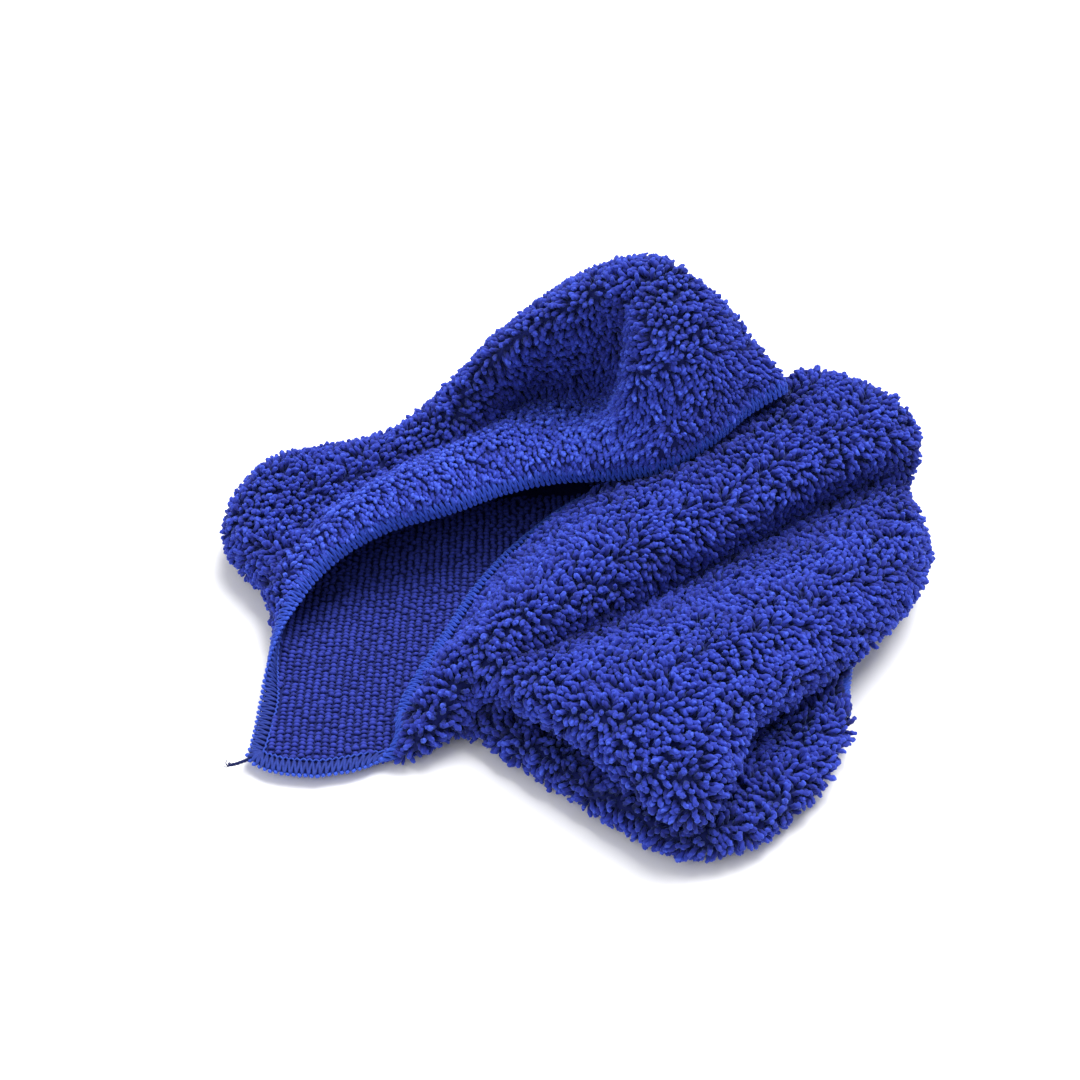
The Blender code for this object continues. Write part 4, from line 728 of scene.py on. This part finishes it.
def ribs():
    r = np.random.default_rng(8)
    # regular columns on the gutter floor, running away from the front border
    fine_s, fine_c = np.meshgrid(np.arange(SURF.shape[0]) / PER, np.arange(SURF.shape[1]) / PER,
                                 indexing='ij')
    ok = floor_zone(fine_s, fine_c, SURF)
    pts, ss, cc = SURF[ok], fine_s[ok], fine_c[ok]
    tree = kdtree.KDTree(len(pts))
    for k, v in enumerate(pts):
        tree.insert((v[0], v[1], 0.0), k)
    tree.balance()
    xs = np.arange(-112, 70, COLUMN)
    ys = np.arange(-90, 62, COURSE)
    start = r.random(len(xs))
    found_s, found_c = [], []
    for a, x in enumerate(xs):
        for b, y in enumerate(ys):
            yy = y + start[a] * COURSE
            xx = x + 0.5 * math.sin(yy * 0.045 + 0.4)
            _, k, dist = tree.find((xx, yy, 0.0))
            if dist < 3.0:
                found_s.append((ss[k], xx, yy))
                found_c.append(cc[k])
    fs = np.array(found_s)
    s, c, target = fs[:, 0], np.array(found_c), fs[:, 1:]
    for _ in range(4):                              # Newton steps to the exact place
        p = take(SURF, s, c)[:, :2]
        ps = (take(SURF, s + 0.02, c)[:, :2] - take(SURF, s - 0.02, c)[:, :2]) / 0.04
        pc = (take(SURF, s, c + 0.02)[:, :2] - take(SURF, s, c - 0.02)[:, :2]) / 0.04
        e = target - p
        det = ps[:, 0] * pc[:, 1] - ps[:, 1] * pc[:, 0]
        det = np.where(np.abs(det) < 1e-3, 1e-3, det)
        s = s + np.clip((e[:, 0] * pc[:, 1] - e[:, 1] * pc[:, 0]) / det, -0.3, 0.3)
        c = c + np.clip((ps[:, 0] * e[:, 1] - ps[:, 1] * e[:, 0]) / det, -0.3, 0.3)
        s, c = np.clip(s, 0, SMAX), np.clip(c, 0, CMAX)
    hit = (np.linalg.norm(take(SURF, s, c)[:, :2] - target, axis=1) < 0.4) & (take(EDGE, s, c) > 5.6)
    s, c = s[hit], c[hit]
    s, c = s + r.normal(0, 0.012, len(s)), c + r.normal(0, 0.008, len(c))
    across = np.tile((1.0, 0.0, 0.0), (len(s), 1))
    a = rib_loops('ribs_gutter', s, c, across, 1.95, 0.84, 0.75, r, 7, 7, 0.30)
    # everywhere else: same loops, courses along the cloth
    s, c = scatter(2.35, lambda s, c, p: (take(EDGE, s, c) > 5.8) & ~floor_zone(s, c, p), 21, 3.2)
    b = 0
    for k in range(5):
        pick = np.minimum((s / SMAX * 5).astype(int), 4) == k
        b += rib_loops('ribs_inside_%d' % k, s[pick], c[pick],
                       take(DV, s[pick], c[pick]), 2.6, 0.62, 0.6, r, 5, 4)
    print('rib loops', a, b)


# ---- overlock seam -----------------------------------------------------------------
def border():
    """Outer and inner parameters round the border, by length of the outer line."""
    def inner_param(dist):
        out = []
        for row in dist:
            out.append(np.interp(HEM, row, np.arange(len(row)) / PER))
        return np.minimum(np.array(out), 2.4)

    def even(t, reach=PER // 2):
        q = np.pad(t, reach, mode='edge')
        return np.array([q[k:k + 2 * reach + 1].mean() for k in range(len(t))])
    a_in = even(inner_param(from_a))
    b_in = CMAX - even(inner_param(from_b[:, ::-1]))
    s_in = even(inner_param(from_s0.T))
    s_out = SMAX - even(inner_param(from_s1[::-1].T))
    gs, gc = np.arange(SURF.shape[0]) / PER, np.arange(SURF.shape[1]) / PER
    runs = [(np.zeros_like(gc), gc), (gs, np.full_like(gs, CMAX)),
            (np.full_like(gc, SMAX), gc[::-1]), (gs[::-1], np.zeros_like(gs))]
    o = np.concatenate([np.stack(rn, -1)[:-1] for rn in runs])
    i = o.copy()
    for _ in range(6):
        si, so = np.interp(i[:, 1], gc, s_in), np.interp(i[:, 1], gc, s_out)
        ci, co = np.interp(i[:, 0], gs, a_in), np.interp(i[:, 0], gs, b_in)
        i = np.stack([np.clip(o[:, 0], si, so), np.clip(o[:, 1], ci, co)], -1)
    e = take(SURF, o[:, 0], o[:, 1])
    step = np.linalg.norm(np.roll(e, -1, 0) - e, axis=1)
    arc = np.concatenate([[0], np.cumsum(step)])
    return np.concatenate([o, o[:1]]), np.concatenate([i, i[:1]]), arc


def seam():
    o, i, arc = border()
    n_st = int(round(arc[-1] / STITCH))
    pitch = arc[-1] / n_st
    print('border', round(float(arc[-1])), 'stitches', n_st)

    def at(pos, depth, height, side):
        """Point of the hem: pos stitches along, depth mm in from the border."""
        x = (np.asarray(pos) * pitch) % arc[-1]
        po = np.stack([np.interp(x, arc, o[:, k]) for k in (0, 1)], -1)
        pi = np.stack([np.interp(x, arc, i[:, k]) for k in (0, 1)], -1)
        t = np.clip(depth / HEM, 0, 1.15)[:, None]
        q = po + (pi - po) * t
        base = take(SURF, q[:, 0], q[:, 1])
        n = unit(take(NORM, q[:, 0], q[:, 1])) * side
        inward = unit(take(SURF, pi[:, 0], pi[:, 1]) - take(SURF, po[:, 0], po[:, 1]))
        base = base + inward * np.minimum(depth, 0)[:, None]
        room = take(R_PILE if side > 0 else R_RIB, q[:, 0], q[:, 1])
        height = np.where(height > 0, np.minimum(height, np.maximum(room - 0.5, 0.45)), height)
        v = base + n * height[:, None]
        v[:, 2] = np.maximum(v[:, 2], 0.7)
        return v

    def zigzag(side, phase, table, seed, wob):
        r = np.random.default_rng(seed)
        tab = np.array(table)
        k = np.repeat(np.arange(n_st), len(tab))
        pos = k + phase + np.tile(tab[:, 0], n_st) + r.normal(0, wob, len(k))
        dep = np.tile(tab[:, 1], n_st) + r.normal(0, 0.10, len(k))
        hgt = np.tile(tab[:, 2], n_st) + r.normal(0, 0.05, len(k))
        pts = at(pos, dep, hgt, side)
        # one more point between each two, on a smooth curve
        a, b, c, d = np.roll(pts, 1, 0), pts, np.roll(pts, -1, 0), np.roll(pts, -2, 0)
        mid = (9 * (b + c) - a - d) / 16
        return np.stack([b, mid], 1).reshape(-1, 3), r

    table_up = [(0.00, 4.7, 0.95), (0.14, 3.0, 1.25), (0.30, 1.2, 1.15), (0.43, -0.1, 0.75),
                (0.36, -0.85, 0.30), (0.52, -1.35, 0.05), (0.68, -0.85, 0.25), (0.61, -0.1, 0.60),
                (0.74, 1.2, 1.05), (0.88, 3.0, 1.15)]
    table_low = [(0.00, 4.6, 0.90), (0.14, 3.0, 1.10), (0.30, 1.2, 1.05), (0.42, -0.1, 0.70),
                 (0.50, -0.55, 0.15), (0.58, -0.1, 0.55), (0.72, 1.2, 0.95), (0.88, 3.0, 1.05)]
    for name, side, phase, table, rad, mat, node, slot in (
            ('seam_upper_looper', 1, 0.0, table_up, 0.56, LOOPER_UP, 'upper_looper_thread', 'upper_looper'),
            ('seam_lower_looper', -1, 0.5, table_low, 0.52, LOOPER_LOW, 'lower_looper_thread', 'lower_looper')):
        path, r = zigzag(side, phase, table, 31 if side > 0 else 37, 0.03)
        k = len(path)
        per = 2 * len(table)
        # Painted light: each looper thread lighter where it wraps over the border and darker (painted shade)
        # towards the inner side of the hem.
        painted_light = np.tile(np.interp(np.arange(per) / per, [0, 0.25, 0.5, 0.75, 1], [0.45, 0.6, 0.95, 0.6, 0.45]),
                       n_st)
        obj = tube(path, rad * (1 + 0.06 * r.normal(size=k)), 8, True, name, mat,
                   {'tip': np.repeat(painted_light, 8), 'tone_and_highlight': np.repeat(r.random(k), 8)})
        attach(obj, 'root')
        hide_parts(node)

    k = np.arange(n_st * 4)
    pos = k / 4
    dep = 5.25 + 0.42 * np.cos(k * math.pi / 2)
    hgt = 0.9 + 0.3 * np.abs(np.cos(k * math.pi / 4))
    path = at(pos, dep, hgt, -1)
    obj = tube(path, 0.40, 7, True, 'seam_needle', NEEDLE,
               {'tip': np.full(len(k) * 7, 0.75), 'tone_and_highlight': np.repeat(np.random.default_rng(2).random(len(k)), 7)})
    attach(obj, 'root')
    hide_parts('needle_thread')

    # loose end at the near left corner: three thin plies, frayed at the tip
    corner, inward = SURF[0, 0], unit(SURF[2 * PER, 2 * PER] - SURF[0, 0])
    out = -inward * (1, 1, 0)
    out = unit(out)
    left = np.array((-out[1], out[0], 0.0))
    spine = np.array([corner + out * a + left * b + np.array((0, 0, d)) for a, b, d in
                      ((-1.5, 0, 0.6), (0.9, 0, 0), (2.3, -0.5, 0.5), (3.7, -1.6, 0.8),
                       (4.7, -3.0, 0.6), (5.2, -4.6, 0.1), (5.1, -6.0, -0.6), (4.5, -7.2, -1.2))])
    spine = spline(spine, 8)
    t = np.linspace(0, 1, len(spine))
    tan = unit(np.gradient(spine, axis=0))
    a, b = frames(tan[None], np.array([[0.1, 0.2, 1.0]]))
    vs, qs, ts, off = [], [], [], 0
    for ply in range(3):
        w = 2 * math.pi * (ply / 3 + 3.2 * t)
        spread = 0.34 + 1.1 * np.clip((t - 0.86) / 0.14, 0, 1)**1.5
        line = spine + a[0] * (spread * np.cos(w))[:, None] + b[0] * (spread * np.sin(w))[:, None]
        line[:, 2] = np.maximum(line[:, 2], 0.35)
        v, q, tr = worms(line[None], (0.33 * np.interp(t, [0, 0.85, 1], [1, 1, 0.45]))[None], 7)
        vs.append(v[0]); qs.append(q + off); ts.append(tr + off); off += v.shape[1]
    v = np.concatenate(vs)
    uv = np.stack([np.arange(len(v)) / len(v), (np.arange(len(v)) % 7) / 7], -1)
    obj = mesh('loose_thread_end', v, np.concatenate(qs), np.concatenate(ts), TAIL, uv,
               {'tip': np.full(len(v), 0.5), 'tone_and_highlight': np.full(len(v), 0.5)})
    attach(obj, 'root')
    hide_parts('thread_tail')


# ---- driving numbers of the looks --------------------------------------------------
PILE_PITCH = 1.52          # least distance between two tufts, mm
PILE_R = 0.90              # tuft radius, mm
TUFT = 4.7                 # length of yarn in a tuft, mm
PILE_RINGS = 7
BLOCKS_S, BLOCKS_C = 4, 5
COLUMN, COURSE = 2.8, 1.9  # rib pitch and loop pitch, mm
HEM = 5.0                  # overlock width, mm
STITCH = 2.2               # stitch pitch, mm

ground()
pile()
ribs()
seam()


# ---- studio ------------------------------------------------------------------------
def studio():
    me = bpy.data.meshes.new('floor')
    a = 6.0
    me.from_pydata([(-a, -a, 0), (a, -a, 0), (a, a, 0), (-a, a, 0)], [], [(0, 1, 2, 3)])
    mat = bpy.data.materials.new('floor_paper')
    mat.use_nodes = True
    b = next(n for n in mat.node_tree.nodes if n.type == 'BSDF_PRINCIPLED')
    b.inputs['Base Color'].default_value = (0.93, 0.93, 0.94, 1)
    b.inputs['Roughness'].default_value = 0.9
    me.materials.append(mat)
    floor = bpy.data.objects.new('floor', me)
    bpy.context.scene.collection.objects.link(floor)

    world = bpy.data.worlds.new('studio')
    bpy.context.scene.world = world
    world.use_nodes = True
    bg = next(n for n in world.node_tree.nodes if n.type == 'BACKGROUND')
    bg.inputs['Color'].default_value = (1.0, 1.0, 1.0, 1)
    bg.inputs['Strength'].default_value = 0.6
    bpy.context.scene.view_settings.view_transform = 'Standard'

    def area(name, loc, target, size, watt, color=(1, 1, 1)):
        li = bpy.data.lights.new(name, 'AREA')
        li.energy, li.size, li.color = watt, size, color
        ob = bpy.data.objects.new(name, li)
        ob.location = loc
        ob.rotation_euler = (Vector(target) - Vector(loc)).to_track_quat('-Z', 'Y').to_euler()
        bpy.context.scene.collection.objects.link(ob)
    area('key', (1.08, 1.26, 3.45), (0, 0, 0.03), 2.4, 215.0)
    area('fill', (-1.75, -1.75, 2.25), (0, 0, 0.03), 2.25, 30.0)

    elev, dist = math.radians(42.0), 0.65
    cam = bpy.data.cameras.new('photo_view')
    cam.sensor_width, cam.sensor_height = 36.0, 36.0
    cam.lens = 1690.0 / 1080.0 * 36.0
    cam.clip_start, cam.clip_end = 0.01, 50
    ob = bpy.data.objects.new('photo_view', cam)
    view = Vector((0, math.cos(elev), -math.sin(elev)))
    ob.location = Vector((0, 0, 0.04)) - dist * view
    ob.rotation_euler = view.to_track_quat('-Z', 'Y').to_euler()
    bpy.context.scene.collection.objects.link(ob)
    bpy.context.scene.camera = ob


studio()
